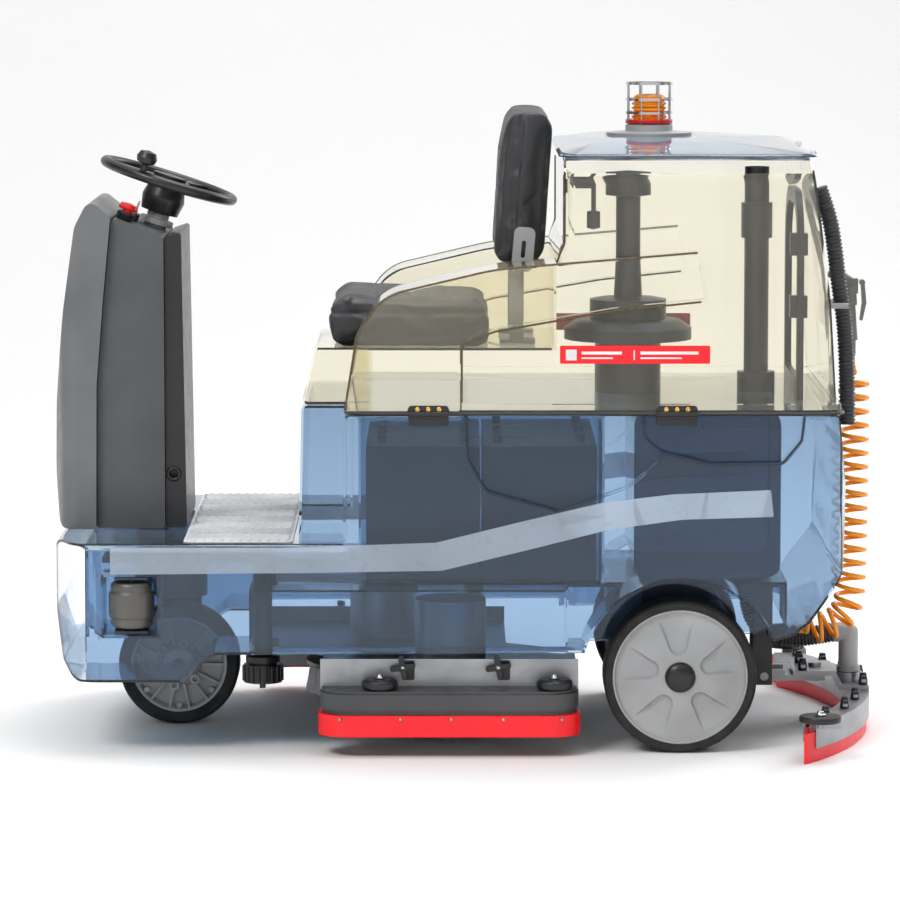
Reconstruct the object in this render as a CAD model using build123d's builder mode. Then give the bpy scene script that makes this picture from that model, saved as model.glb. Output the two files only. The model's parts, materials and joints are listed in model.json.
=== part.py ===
"""Ride-on floor scrubber, in millimetres.

+X points to the rear of the machine, +Z up, and -Y is its left side. The origin is on the
floor, under the middle of the machine.
"""
import os
from math import cos, radians, sin, sqrt, tan

from build123d import *

os.makedirs("parts", exist_ok=True)

# ---- overall sizes ---------------------------------------------------------------------
body_half = 430.0          # half width of the hull
hull_front = -848.0        # foremost point of the hull
hull_rear = 779.0          # rearmost point of the hull
seam_z = 703.0             # top of the solution tank
deck_z = 437.0             # top of the foot deck
skirt_z = 213.0            # lower edge of the side skirts
nose_z = 152.0             # lower edge of the nose
wall = 5.0                 # wall of every moulded tank
gap = 2.0                  # gap between covers that part
run = 0.05                 # radial clearance of a running fit
lip = 1.0                  # gap round a fitted piece

# ---- wheels ----------------------------------------------------------------------------
rear_r = 157.5             # rear wheel
rear_x = 441.0
rear_w = 100.0             # width of the rear wheel
rear_out = 400.0           # outer face of the rear wheel
tyre_t = 18.0              # thickness of the rear tread
rear_axle_r = 20.0
arch_gap = 47.5            # wheel arch beyond the tyre
front_r = 128.0            # drive wheel
front_x = -609.0
front_w = 84.0
front_tyre_t = 26.0
front_axle_r = 14.0
kingpin_r = 28.0
roller_r = 47.0            # guide roller at each front corner
roller_h = 92.0
roller_x = -685.0
roller_y = 392.0
roller_z = 309.0
roller_pin_r = 8.0

# ---- console and steering --------------------------------------------------------------
console_half = 200.0       # half width of the front cover
column_half = 180.0        # half width of the column behind it
console_top = 1128.0
wheel_x = -626.0           # centre of the steering wheel
wheel_z = 1157.0
wheel_tilt = 17.5          # lean of the steering shaft, towards the driver
wheel_r = 150.0            # outside radius of the rim
rim_r = 11.0               # radius of the rim's section
shaft_r = 14.0             # steering shaft

# ---- seat and recovery tank ------------------------------------------------------------
base_z = seam_z + gap      # underside of the recovery tank
seat_z = 823.0             # top of the seat box
seat_half = 220.0
wing_in = 240.0            # inner face of each wing
wing_out = 428.0           # outer face of each wing
tank_half = 404.0          # half width of the recovery tank
tank_front = 192.0
tank_top = 1222.0
lid_top = 1250.0
mouth_half = 330.0         # half width of the tank's mouth
beacon_x = 388.0
beacon_r = 38.0
beacon_top = 1364.0

# ---- scrub deck ------------------------------------------------------------------------
brush_r = 175.0
brush_y = 194.0
brush_x = (-31.0, -175.0)  # left brush, right brush: the right one runs ahead
bristle_z = 38.0           # tip of the bristles, deck raised
deck_plate_z = 152.0
deck_half = 380.0
spindle_r = 16.0

cover_z = (88.0, 137.0)    # side covers
bumper_r = 37.0            # bumper rollers on the left cover
bumper_z = (139.0, 159.0)
bumper_x = (-176.0, 182.0)
bumper_y = -424.0
bumper_pin_r = 7.0

# ---- squeegee --------------------------------------------------------------------------
squeegee_half = 530.0      # half width over the blades
squeegee_rear = 855.8      # rearmost point of the rear blade
squeegee_tip = 692.0       # X of the blade's ends
inner_half = 450.0         # half width of the front blade and its clamp
blade_t = 5.0
blade_h = 63.0
arm_x = 636.0              # hinge of the squeegee's arm
arm_z = 106.0
arm_half = 44.0            # half width of the arm
arm_pin_r = 9.0
lug_y = (47.0, 66.0)       # inner and outer face of the lugs beside it
swing_x = 748.0            # pivot that the squeegee swings on

# ---- hoses -----------------------------------------------------------------------------
coil_r = 34.0              # outside of the curly spray hose
fitting_x = 698.0          # where its lower end meets the fitting on the frame
fitting_z = 208.0
lead_r = 5.0               # its straight ends
coil_y = -92.0
suction_r = 23.5
drain_r = 17.5
suction_start = (604.0, 0.0, 290.0)


def finish(part, label):
    """Name a finished piece and write it."""
    part.label = label
    export_step(part, f"parts/{label}.step")


def side_slab(points, radius, low_y, high_y, inset=0.0, mode=Mode.ADD):
    """Extrude a rounded side outline, given as X and Z, between two widths."""
    with BuildSketch(Plane.XZ.offset(-high_y)) as outline:
        with BuildLine():
            FilletPolyline(*points, radius=radius, close=True)
        make_face()
        if inset:
            offset(amount=-inset, kind=Kind.INTERSECTION, mode=Mode.REPLACE)
    extrude(outline.sketch, amount=high_y - low_y, dir=(0, -1, 0), mode=mode)


def plan_slab(points, radius, low_z, high_z, inset=0.0, mode=Mode.ADD):
    """Extrude a rounded plan outline, given as X and Y, between two heights."""
    with BuildSketch(Plane.XY.offset(low_z)) as outline:
        with BuildLine():
            FilletPolyline(*points, radius=radius, close=True)
        make_face()
        if inset:
            offset(amount=-inset, kind=Kind.INTERSECTION, mode=Mode.REPLACE)
    extrude(outline.sketch, amount=high_z - low_z, dir=(0, 0, 1), mode=mode)


def section_slab(points, radius, low_x, high_x, inset=0.0, mode=Mode.ADD):
    """Extrude a rounded cross-section, given as Y and Z, between two lengths."""
    with BuildSketch(Plane.YZ.offset(low_x)) as outline:
        with BuildLine():
            FilletPolyline(*points, radius=radius, close=True)
        make_face()
        if inset:
            offset(amount=-inset, kind=Kind.INTERSECTION, mode=Mode.REPLACE)
    extrude(outline.sketch, amount=high_x - low_x, dir=(1, 0, 0), mode=mode)


def block(low, high, mode=Mode.ADD):
    """Add a box between two corners."""
    middle = [(a + b) / 2 for a, b in zip(low, high)]
    size = [b - a for a, b in zip(low, high)]
    with Locations(tuple(middle)):
        Box(*size, mode=mode)


def rod(start, end, radius, mode=Mode.ADD, bore=0.0):
    """Add a round bar, or a tube, from one point to another."""
    along = Vector(*end) - Vector(*start)
    with BuildSketch(Plane(origin=start, z_dir=along.normalized())) as disc:
        Circle(radius)
        if bore:
            Circle(bore, mode=Mode.SUBTRACT)
    extrude(disc.sketch, amount=along.length, mode=mode)


def spun(profile, centre, direction, mode=Mode.ADD):
    """Turn a profile of radius and height about an axis through a point."""
    along = Vector(*direction)
    away = Vector(0, 1, 0) if abs(along.Y) < 0.5 else Vector(1, 0, 0)
    plane = Plane(origin=centre, x_dir=away, z_dir=away.cross(along))
    with BuildSketch(plane) as half:
        with BuildLine():
            Polyline(*profile, close=True)
        make_face()
    revolve(half.sketch, axis=Axis(centre, direction), mode=mode)


def mirrored_y(points):
    """The same outline on the other side of the machine."""
    return [(x, -y) for x, y in points]


# ---- solution tank ---------------------------------------------------------------------
column_front = -348.0      # front of the seat column
column_w = 250.0           # its half width
house_front = -250.0       # where the hull widens behind the seat column
hull_side = [
    (hull_front, deck_z), (hull_front, 300.0), (hull_front + 16, 190.0),
    (hull_front + 48, nose_z), (-583.0, nose_z), (-517.0, skirt_z - 4), (256.0, skirt_z),
    (601.0, skirt_z + 15), (680.0, 250.0), (740.0, deck_z - 80), (740.0, deck_z),
]
hull_radii = [22, 60, 30, 30, 20, 20, 5, 5, 40, 40, 5]
house_side = [
    (300.0, deck_z - 120), (601.0, skirt_z + 30), (695.0, 262.0), (hull_rear - 6, 371.0),
    (hull_rear, 543.0), (hull_rear - 16, seam_z), (house_front, seam_z),
    (house_front, deck_z - 60), (280.0, deck_z - 60),
]
house_radii = [5, 5, 60, 60, 90, 14, 16, 5, 5]
edge_r = 16.0              # rounding along the hull's long edges
hull_plan = [
    (hull_front, -300.0), (hull_front + 50, -body_half), (hull_rear, -body_half),
    (hull_rear, body_half), (hull_front + 50, body_half), (hull_front, 300.0),
]
hull_plan_radii = [90, 70, 60, 60, 70, 90]
seat_column = [
    (column_front, deck_z - 60), (column_front + 8, seam_z), (house_front + 60, seam_z),
    (house_front + 60, deck_z - 60),
]
pocket_half = 200.0        # pocket over the drive wheel
pocket_x = (-790.0, -396.0)
pocket_top = 396.0
tunnel_top = 330.0         # tunnel over the scrub deck
tunnel_half = 366.0
tunnel_x = (-440.0, 206.0)
axle_bay_half = 250.0      # bay between the rear wheels
axle_bay_x = (190.0, 664.0)
bay_x = (-216.0, 282.0)    # battery bay, open at the top
bay_half = 300.0
bay_floor = 345.0
arch_in = 265.0            # inner face of each wheel arch
recess = 20.0              # depth of the recesses in the sides
swoosh = [(-6.0, seam_z + 9), (4.0, 612.0), (42.0, 545.0), (186.0, 505.0), (330.0, 556.0),
          (432.0, 640.0), (470.0, seam_z + 9)]
grip = [(362.0, seam_z + 20), (367.0, 652.0), (400.0, 626.0), (502.0, 601.0), (645.0, 603.0),
        (684.0, 650.0), (690.0, seam_z + 20)]


def rounded_section(half, top, radius):
    """Cross-section with rounded upper corners, and its corner radii."""
    return [(-half, 100.0), (half, 100.0), (half, top), (-half, top)], [1, 1, radius, radius]


pocket_reach = roller_r + 8    # guide roller pocket about the roller's axis


def roller_pocket(side, grow):
    """Cut the corner pocket that a guide roller turns in."""
    reach = pocket_reach + grow
    half_height = roller_h / 2 + 15 + grow
    near = sorted((side * (roller_y - reach + 4), side * (body_half + 30)))
    low = (roller_x - reach, near[0], roller_z - half_height)
    high = (roller_x + reach, near[1], roller_z + half_height)
    block(low, high, mode=Mode.SUBTRACT)


def hull_form(inset):
    """The hull's outer form, or with an inset the form of its cavity."""
    half = body_half - inset
    lengths = (hull_front - 10, hull_rear + 10)
    with BuildPart() as house:
        side_slab(house_side, house_radii, -half, half, inset)
        plan_slab(hull_plan, hull_plan_radii, 0, seam_z + 50, inset, Mode.INTERSECT)
        section_slab(*rounded_section(body_half, seam_z, edge_r), *lengths, inset,
                     Mode.INTERSECT)
    with BuildPart() as form:
        side_slab(hull_side, hull_radii, -half, half, inset)
        plan_slab(hull_plan, hull_plan_radii, 0, seam_z + 50, inset, Mode.INTERSECT)
        section_slab(*rounded_section(body_half, deck_z, edge_r), *lengths, inset,
                     Mode.INTERSECT)
        add(house.part)
        side_slab(seat_column, 10, inset - column_w, column_w - inset, inset)
        block((pocket_x[0] - inset, -pocket_half - inset, 0),
              (pocket_x[1] + inset, pocket_half + inset, pocket_top + inset), Mode.SUBTRACT)
        block((tunnel_x[0] - inset, -tunnel_half - inset, 0),
              (tunnel_x[1] + inset, tunnel_half + inset, tunnel_top + inset), Mode.SUBTRACT)
        block((axle_bay_x[0] - inset, -axle_bay_half - inset, 0),
              (axle_bay_x[1] + inset, axle_bay_half + inset, tunnel_top + inset), Mode.SUBTRACT)
        block((bay_x[0] - inset, -bay_half - inset, bay_floor - inset),
              (bay_x[1] + inset, bay_half + inset, seam_z + 50), Mode.SUBTRACT)
        for side in (-1, 1):
            inner = side * (arch_in - inset)
            outer = side * (body_half + 50)
            rod((rear_x, inner, rear_r), (rear_x, outer, rear_r), rear_r + arch_gap + inset,
                Mode.SUBTRACT)
            floor = side * (body_half - recess - inset)
            low_y, high_y = sorted((floor, outer))
            for shape in (swoosh, grip):
                side_slab(shape, 24, low_y, high_y, -inset, Mode.SUBTRACT)
            roller_pocket(side, inset)
    return form.part


hull_outer = hull_form(0.0)
hull_cavity = hull_form(wall)
with BuildPart() as solution_tank:
    add(hull_outer)
    add(hull_cavity, mode=Mode.SUBTRACT)
finish(solution_tank.part, "solution_tank")

# ---- foot deck mat: a thin ribbed plate round the console --------------------------------
mat_t = 3.0
mat_half = body_half - 22
mat_rear = column_front - 6
mat_front = -578.0
rib_t = 3.0
rib_pitch = 26.0
with BuildPart() as footplate_mat:
    block((mat_front, -mat_half, deck_z), (mat_rear, mat_half, deck_z + mat_t))
    rib_count = int((mat_half - 30) / rib_pitch)
    for side in (-1, 1):
        for number in range(rib_count):
            at_y = side * (20 + number * rib_pitch)
            rib_high = deck_z + mat_t + rib_t
            block((mat_front + 14, at_y - 5, deck_z + mat_t - 1),
                  (mat_rear - 14, at_y + 5, rib_high))
finish(footplate_mat.part, "footplate_mat")

# ---- console ---------------------------------------------------------------------------
cover_back = [(-737.0, 1092.0), (-754.0, 913.0), (-768.0, 740.0), (-771.0, deck_z + gap)]
cover_side = cover_back + [
    (-850.0, deck_z + gap), (-861.0, 560.0), (-857.0, 703.0), (-838.0, 892.0),
    (-812.0, 1070.0), (-782.0, console_top),
]
cover_radii = [12, 200, 200, 8, 20, 150, 400, 400, 50, 18]
cover_plan = [(-861.0, -110.0), (-838.0, -console_half), (-700.0, -console_half),
              (-700.0, console_half), (-838.0, console_half), (-861.0, 110.0)]
with BuildPart() as console_cover:
    side_slab(cover_side, cover_radii, -console_half, console_half)
    plan_slab(cover_plan, [120, 40, 10, 10, 40, 120], 0, console_top + 50,
              mode=Mode.INTERSECT)
finish(console_cover.part, "console_cover")

panel_x = -627.0
column_side = [
    (cover_back[0][0] + lip, 1089.0), (cover_back[1][0] + lip, 913.0),
    (cover_back[2][0] + lip, 740.0), (cover_back[3][0] + lip, deck_z + gap),
    (panel_x - lip, deck_z + gap), (panel_x - lip, 1048.0),
]
column_wall = 6.0
wheel_lean = Vector(sin(radians(wheel_tilt)), 0, cos(radians(wheel_tilt)))
wheel_centre = Vector(wheel_x, 0, wheel_z)
column_foot = wheel_centre - wheel_lean * 290
column_r = 24.0
with BuildPart() as console_column:
    side_slab(column_side, [8, 200, 200, 6, 6, 10], -column_half, column_half)
    side_slab(column_side, [8, 200, 200, 6, 6, 10], column_wall - column_half,
              column_half - column_wall, column_wall, Mode.SUBTRACT)
    block((panel_x - 40, -column_half + 30, deck_z + 30),
          (panel_x + 40, column_half - 30, 1000.0), Mode.SUBTRACT)
    rod(column_foot, wheel_centre, column_r + lip, Mode.SUBTRACT)
finish(console_column.part, "console_column")

panel_half = 166.0
socket_x = -610.0
socket_z = 552.0
socket_r = 16.0
with BuildPart() as console_panel:
    side_slab([(panel_x, 1046.0), (-592.0, 1058.0), (-590.0, 911.0), (-583.0, deck_z + gap),
               (panel_x, deck_z + gap)], 6, -panel_half, panel_half)
    rod((socket_x, -panel_half - 5, socket_z), (socket_x, -panel_half + 24, socket_z),
        socket_r, Mode.SUBTRACT)
    rod(column_foot, wheel_centre, column_r + lip, Mode.SUBTRACT)
finish(console_panel.part, "console_panel")

column_top = wheel_centre - wheel_lean * 72
with BuildPart() as steering_column:
    rod(column_foot, column_top, column_r, bore=shaft_r + run)
    rod(column_top - wheel_lean * 24, column_top - wheel_lean * 12, column_r + 12,
        bore=column_r - 1)
finish(steering_column.part, "steering_column")

# Small fittings: the stop button's cup, the key barrel and the charging socket.
top_fall = (column_side[0][1] - column_side[-1][1]) / (column_side[-1][0] - column_side[0][0])
top_lean = Vector(top_fall, 0, 1).normalized()


def on_column(at_x, at_y):
    """Point on the sloping top of the console column."""
    height = column_side[0][1] - (at_x - column_side[0][0]) * top_fall
    return Vector(at_x, at_y, height) + top_lean * 0.3


stop_at = on_column(-714.0, -118.0)
key_at = on_column(-700.0, -60.0)
cup_r = 17.0
key_barrel_r = 11.0
slot_half = 1.6
with BuildPart() as console_fittings:
    spun([(10 + run, 0), (cup_r, 0), (cup_r + 3, 16), (cup_r - 1, 16), (10 + run, 8)],
         stop_at, top_lean)
    rod(key_at, key_at + top_lean * 16, key_barrel_r, bore=4 + run)
    rod((socket_x, -panel_half - 3, socket_z), (socket_x, -panel_half + 20, socket_z),
        socket_r - lip, bore=socket_r - 7)
finish(console_fittings.part, "console_fittings")

with BuildPart() as estop_button:
    spun([(0, 8), (10, 8), (10, 22), (19, 22), (21, 27), (17, 34), (0, 37)], stop_at, top_lean)
finish(estop_button.part, "estop_button")

with BuildPart() as ignition_key:
    rod(key_at + top_lean * 3, key_at + top_lean * 24, 4.0)
    with BuildSketch(Plane(origin=key_at + top_lean * 33, x_dir=(0, 1, 0),
                           z_dir=(top_lean.Z, 0, -top_lean.X))) as bow:
        RectangleRounded(26, 22, 6)
        with Locations((0, 5)):
            Circle(3.5, mode=Mode.SUBTRACT)
    extrude(bow.sketch, amount=2.0, both=True)
finish(ignition_key.part, "ignition_key")

# ---- steering wheel ----------------------------------------------------------------------
rim_plane = Plane(origin=wheel_centre, x_dir=(wheel_lean.Z, 0, -wheel_lean.X),
                  z_dir=wheel_lean)
rim_mid = wheel_r - rim_r
hub_r = 44.0
spoke_w = 30.0
knob_angle = 248.0
with BuildPart(rim_plane) as steering_wheel:
    Torus(rim_mid, rim_r)
    with PolarLocations((hub_r + rim_mid) / 2, 3, start_angle=60):
        Box(rim_mid - hub_r + 12, spoke_w, 8)
    with Locations((0, 0, -6)):
        Cylinder(hub_r, 20)
finish(steering_wheel.part, "steering_wheel")

with BuildPart() as steering_hub:
    spun([(0, -24), (0, -140), (shaft_r, -140), (shaft_r, -70), (40, -70), (46, -40),
          (hub_r - 4, -16 - lip), (0, -16 - lip)], wheel_centre, wheel_lean)
    rod(wheel_centre + wheel_lean * 4, wheel_centre + wheel_lean * 11, hub_r - 8)
finish(steering_hub.part, "steering_hub")

knob_foot = rim_plane.from_local_coords(
    Vector(rim_mid * cos(radians(knob_angle)), rim_mid * sin(radians(knob_angle)), 0))
with BuildPart() as spinner_knob:
    spun([(0, rim_r + 1), (7, rim_r + 1), (7, 24), (19, 30), (22, 40), (17, 52), (0, 56)],
         knob_foot, wheel_lean)
finish(spinner_knob.part, "spinner_knob")

# ---- accelerator pedal -----------------------------------------------------------------
pedal_x = -640.0
pedal_y = 262.0
pedal_pin_z = deck_z + 14
pedal_half = 42.0
with BuildPart() as accelerator_pedal:
    rod((pedal_x, pedal_y - pedal_half, pedal_pin_z), (pedal_x, pedal_y + pedal_half,
                                                       pedal_pin_z), 9)
    side_slab([(pedal_x + 4, pedal_pin_z - 8), (pedal_x + 4, pedal_pin_z + 6),
               (pedal_x - 108, pedal_pin_z + 62), (pedal_x - 114, pedal_pin_z + 50)], 3,
              pedal_y - pedal_half, pedal_y + pedal_half)
finish(accelerator_pedal.part, "accelerator_pedal")

# ---- chassis frame -----------------------------------------------------------------------
rail_y = 130.0
rail_z = (262.0, 312.0)
rail_w = 40.0
fork_plate_z = 366.0       # underside of the plate that the drive unit hangs from
fork_plate_t = 12.0
axle_tube_r = 32.0
pin_plate_t = 5.0
with BuildPart() as chassis_frame:
    for side in (-1, 1):
        centre = side * rail_y
        block((-425.0, centre - rail_w / 2, rail_z[1] - 2), (660.0, centre + rail_w / 2,
                                                             tunnel_top - gap))
        block((rear_x - 70, centre - rail_w / 2, rear_r), (rear_x + 70, centre + rail_w / 2,
                                                           rail_z[1]))
        low_y, high_y = sorted((side * lug_y[0], side * lug_y[1]))
        block((arm_x - 24, low_y, arm_z - 18), (arm_x + 16, high_y, rail_z[1]))
        low_y, high_y = sorted((side * lug_y[0], side * (rail_y - 2)))
        block((arm_x - 60, low_y, rail_z[1] - 14), (arm_x, high_y, tunnel_top - gap))
    for at_x in (-418.0, 250.0):
        block((at_x, -rail_y, rail_z[1] - 2), (at_x + 30, rail_y, tunnel_top - gap))
    block((-760.0, -186.0, fork_plate_z), (-400.0, 186.0, fork_plate_z + fork_plate_t))
    for side in (-1, 1):
        block((-432.0, side * rail_y - 12, rail_z[1]), (-402.0, side * rail_y + 12,
                                                        fork_plate_z + fork_plate_t))
    rod((front_x, 0, fork_plate_z - 1), (front_x, 0, fork_plate_z + 30), kingpin_r + run,
        Mode.SUBTRACT)
    rod((arm_x, -lug_y[1] - 5, arm_z), (arm_x, lug_y[1] + 5, arm_z), arm_pin_r + run,
        Mode.SUBTRACT)
    rod((rear_x, -arch_in - 2, rear_r), (rear_x, arch_in + 2, rear_r), axle_tube_r)
    rod((rear_x, -rear_out + 8, rear_r), (rear_x, rear_out - 8, rear_r), rear_axle_r)
    for side in (-1, 1):
        rod((roller_x, side * roller_y, roller_z - roller_h / 2 - 8),
            (roller_x, side * roller_y, roller_z + roller_h / 2 + 8), roller_pin_r)
        for level in (roller_z - roller_h / 2 - 12, roller_z + roller_h / 2 + 7):
            low_y, high_y = sorted((side * (roller_y - pocket_reach + 4), side * (roller_y + 26)))
            block((roller_x - 34, low_y, level), (roller_x + 34, high_y, level + pin_plate_t))
    block((582.0, 2 - rail_y, rail_z[1] - 2), (632.0, rail_y - 2, tunnel_top - gap))
    rod((suction_start[0], 0, suction_start[2] + 1.5), (suction_start[0], 0, rail_z[1]),
        suction_r + 3)
    block((arm_x + 4, coil_y - 12, fitting_z - 10), (fitting_x - 10, -lug_y[0], fitting_z + 10))
    rod((fitting_x - 12, coil_y, fitting_z), (fitting_x - 0.2, coil_y, fitting_z), lead_r + 4)
finish(chassis_frame.part, "chassis_frame")

# ---- drive unit and front wheel ----------------------------------------------------------
leg_y = front_w / 2 + 8
with BuildPart() as drive_fork:
    rod((front_x, 0, fork_plate_z - 22), (front_x, 0, fork_plate_z - 1), 92)
    rod((front_x, 0, fork_plate_z - 2), (front_x, 0, fork_plate_z + 26), kingpin_r)
    rod((front_x, 30, 2 * front_r + 14), (front_x, 30, fork_plate_z - 20), 58)
    side_slab([(front_x - 46, fork_plate_z - 6), (front_x + 46, fork_plate_z - 6),
               (front_x + 40, front_r - 30), (front_x - 40, front_r - 30)], 22,
              leg_y, leg_y + 34)
    rod((front_x, -front_w / 2 - 2, front_r), (front_x, leg_y + 2, front_r), front_axle_r)
    rod((front_x, leg_y + 20, front_r), (front_x, leg_y + 64, front_r), 44)
finish(drive_fork.part, "drive_fork")

front_rim_r = front_r - front_tyre_t
with BuildPart() as front_wheel_tyre:
    spun([(front_rim_r, -front_w / 2 + 3), (front_r - 6, -front_w / 2), (front_r, 6 - front_w / 2),
          (front_r, front_w / 2 - 6), (front_r - 6, front_w / 2), (front_rim_r, front_w / 2 - 3)],
         (front_x, 0, front_r), (0, 1, 0))
finish(front_wheel_tyre.part, "front_wheel_tyre")

with BuildPart() as front_wheel_rim:
    spun([(front_axle_r + run, -front_w / 2), (44, -front_w / 2), (56, 12 - front_w / 2),
          (86, 20 - front_w / 2), (front_rim_r - 8, 5 - front_w / 2),
          (front_rim_r, 5 - front_w / 2), (front_rim_r, front_w / 2 - 5),
          (front_axle_r + run, front_w / 2 - 5)], (front_x, 0, front_r), (0, 1, 0))
    for number in range(6):
        turn = radians(number * 60 + 30)
        at_x = front_x + 70 * cos(turn)
        at_z = front_r + 70 * sin(turn)
        rod((at_x, -front_w / 2 - 2, at_z), (at_x, 12 - front_w / 2, at_z), 11, Mode.SUBTRACT)
finish(front_wheel_rim.part, "front_wheel_rim")

# ---- rear wheels -----------------------------------------------------------------------
rear_rim_r = rear_r - tyre_t


def rear_tyre(side):
    """Tread of a rear wheel, moulded round its rim."""
    out = rear_out
    inner = rear_out - rear_w
    with BuildPart() as piece:
        spun([(rear_rim_r, inner + 2), (rear_r - 5, inner), (rear_r, inner + 7), (rear_r, out - 7),
              (rear_r - 5, out), (rear_rim_r, out - 2)], (rear_x, 0, rear_r), (0, side, 0))
    return piece.part


def rear_rim(side):
    """Rim of a rear wheel: a dished disc with five scalloped windows and a hub cap."""
    out = rear_out - 4
    inner = rear_out - rear_w + 4
    with BuildPart() as piece:
        spun([(rear_axle_r + run, inner), (rear_rim_r, inner), (rear_rim_r, out),
              (rear_rim_r - 12, out), (rear_rim_r - 20, out - 8), (60, out - 3), (34, out - 3),
              (30, out + 6), (18, out + 12), (0, out + 13), (0, out - 8 + lip + 6),
              (rear_axle_r + run, out - 1)], (rear_x, 0, rear_r), (0, side, 0))
        face = Plane(origin=(rear_x, side * (out + 2), rear_r), x_dir=(1, 0, 0),
                     z_dir=(0, side, 0))
        for number in range(5):
            turn = number * 72 + 90
            with BuildSketch(face.rotated((0, 0, turn))) as window:
                with Locations((rear_rim_r - 44, 0)):
                    SlotOverall(76, 34)
            extrude(window.sketch, amount=-16, mode=Mode.SUBTRACT)
    return piece.part


# ---- guide rollers -----------------------------------------------------------------------
def guide_roller(side):
    """Corner roller: a barrel with a raised band."""
    half = roller_h / 2
    with BuildPart() as piece:
        spun([(roller_pin_r + run, -half), (roller_r - 8, -half), (roller_r - 4, 6 - half),
              (roller_r - 4, -28), (roller_r, -24), (roller_r, 24), (roller_r - 4, 28),
              (roller_r - 4, half - 6), (roller_r - 8, half), (roller_pin_r + run, half)],
             (roller_x, side * roller_y, roller_z), (0, 0, 1))
    return piece.part


for hand, side in (("left", -1), ("right", 1)):
    finish(rear_tyre(side), f"rear_wheel_{hand}_tyre")
    finish(rear_rim(side), f"rear_wheel_{hand}_rim")
    finish(guide_roller(side), f"guide_roller_{hand}")

# ---- batteries and electrics --------------------------------------------------------------
battery_size = (236.0, 180.0, 276.0)
post_r = 9.0
with BuildPart() as battery_pack:
    for column in (-1, 1):
        for row in (-1, 0, 1):
            at_x = (bay_x[0] + bay_x[1]) / 2 + column * (battery_size[0] / 2 + 3)
            at_y = row * (battery_size[1] + 6)
            low_z = bay_floor
            block((at_x - battery_size[0] / 2, at_y - battery_size[1] / 2, low_z),
                  (at_x + battery_size[0] / 2, at_y + battery_size[1] / 2,
                   low_z + battery_size[2]))
            for end in (-1, 1):
                post_x = at_x + end * (battery_size[0] / 2 - 32)
                rod((post_x, at_y, low_z + battery_size[2] - 1),
                    (post_x, at_y, low_z + battery_size[2] + 16), post_r)
finish(battery_pack.part, "battery_pack")

with BuildPart() as controller:
    block((300.0, -95.0, 250.0), (372.0, 95.0, 300.0))
    for number in range(9):
        fin_y = -80 + number * 20
        block((304.0, fin_y - 3, 240.0), (368.0, fin_y + 3, 251.0))
    block((310.0, -rail_y + 20, 299.0), (350.0, rail_y - 20, 311.0))
    for side in (-1, 1):
        low_y, high_y = sorted((side * (rail_y - rail_w / 2 - 4), side * (rail_y - rail_w / 2)))
        block((310.0, low_y, 299.0), (350.0, high_y, rail_z[1] + 10))
finish(controller.part, "controller")

# ---- filter under the hull -----------------------------------------------------------------
filter_x = -425.0
filter_y = -172.0
filter_r = 36.0
cap_z = (113.0, 151.0)
neck_r = 20.0
with BuildPart() as filter_housing:
    spun([(0, 124), (filter_r - 6, 124), (filter_r - 6, 154), (filter_r, 156), (filter_r, 168),
          (neck_r, 178), (neck_r, fork_plate_z), (0, fork_plate_z)],
         (filter_x, filter_y, 0), (0, 0, 1))
    rod((filter_x, filter_y, 196), (filter_x + 34, filter_y, 196), 9)
finish(filter_housing.part, "filter_housing")

with BuildPart() as filter_cap:
    rod((filter_x, filter_y, cap_z[0]), (filter_x, filter_y, cap_z[1]), filter_r + 4)
    with Locations((filter_x, filter_y, 0)):
        with PolarLocations(filter_r + 4, 18):
            with Locations((0, 0, (cap_z[0] + cap_z[1]) / 2)):
                Cylinder(3.5, cap_z[1] - cap_z[0] - 6)
    rod((filter_x, filter_y, cap_z[0] + 11 - run), (filter_x, filter_y, cap_z[1] + 1),
        filter_r - 6 + run, Mode.SUBTRACT)
    block((filter_x - 6, filter_y - 34, cap_z[0] - 9), (filter_x + 6, filter_y + 34, cap_z[0] + 1))
finish(filter_cap.part, "filter_cap")

# ---- side stripes --------------------------------------------------------------------------
stripe_t = 0.8
stripe = [(-726.0, 430.0), (-378.0, 430.0), (-60.0, 441.0), (110.0, 483.0), (280.0, 523.0),
          (420.0, 540.0), (622.0, 549.0), (628.0, 494.0), (440.0, 488.0), (290.0, 467.0),
          (120.0, 424.0), (-50.0, 383.0), (-378.0, 378.0), (-726.0, 375.0)]
with BuildPart() as side_stripe:
    for side in (-1, 1):
        low_y, high_y = sorted((side * body_half, side * (body_half + stripe_t)))
        side_slab(stripe, 4, low_y, high_y)
        side_slab(swoosh, 24, low_y - 1, high_y + 1, -1, Mode.SUBTRACT)
finish(side_stripe.part, "side_stripe")

# ---- tank hinges on the left side -------------------------------------------------------------
hinge_x = (-76.0, 430.0)
hinge_w = 82.0
hinge_y = -(body_half + 7)
hinge_pin_r = 5.0
screw_r = 4.0
with BuildPart() as tank_hinges:
    for at_x in hinge_x:
        block((at_x - hinge_w / 2, hinge_y + 3, seam_z - 22), (at_x + hinge_w / 2, hinge_y + 7,
                                                               seam_z - 1))
        rod((at_x - hinge_w / 2, hinge_y, base_z), (at_x + hinge_w / 2, hinge_y, base_z),
            hinge_pin_r)
        for shift in (-26, 0, 26):
            rod((at_x + shift, hinge_y + 4, seam_z - 14), (at_x + shift, hinge_y, seam_z - 14),
                screw_r)
            block((at_x + shift - 5, hinge_y + 1, seam_z - 8), (at_x + shift + 5, hinge_y + 5,
                                                                base_z))
finish(tank_hinges.part, "tank_hinges")

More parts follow.
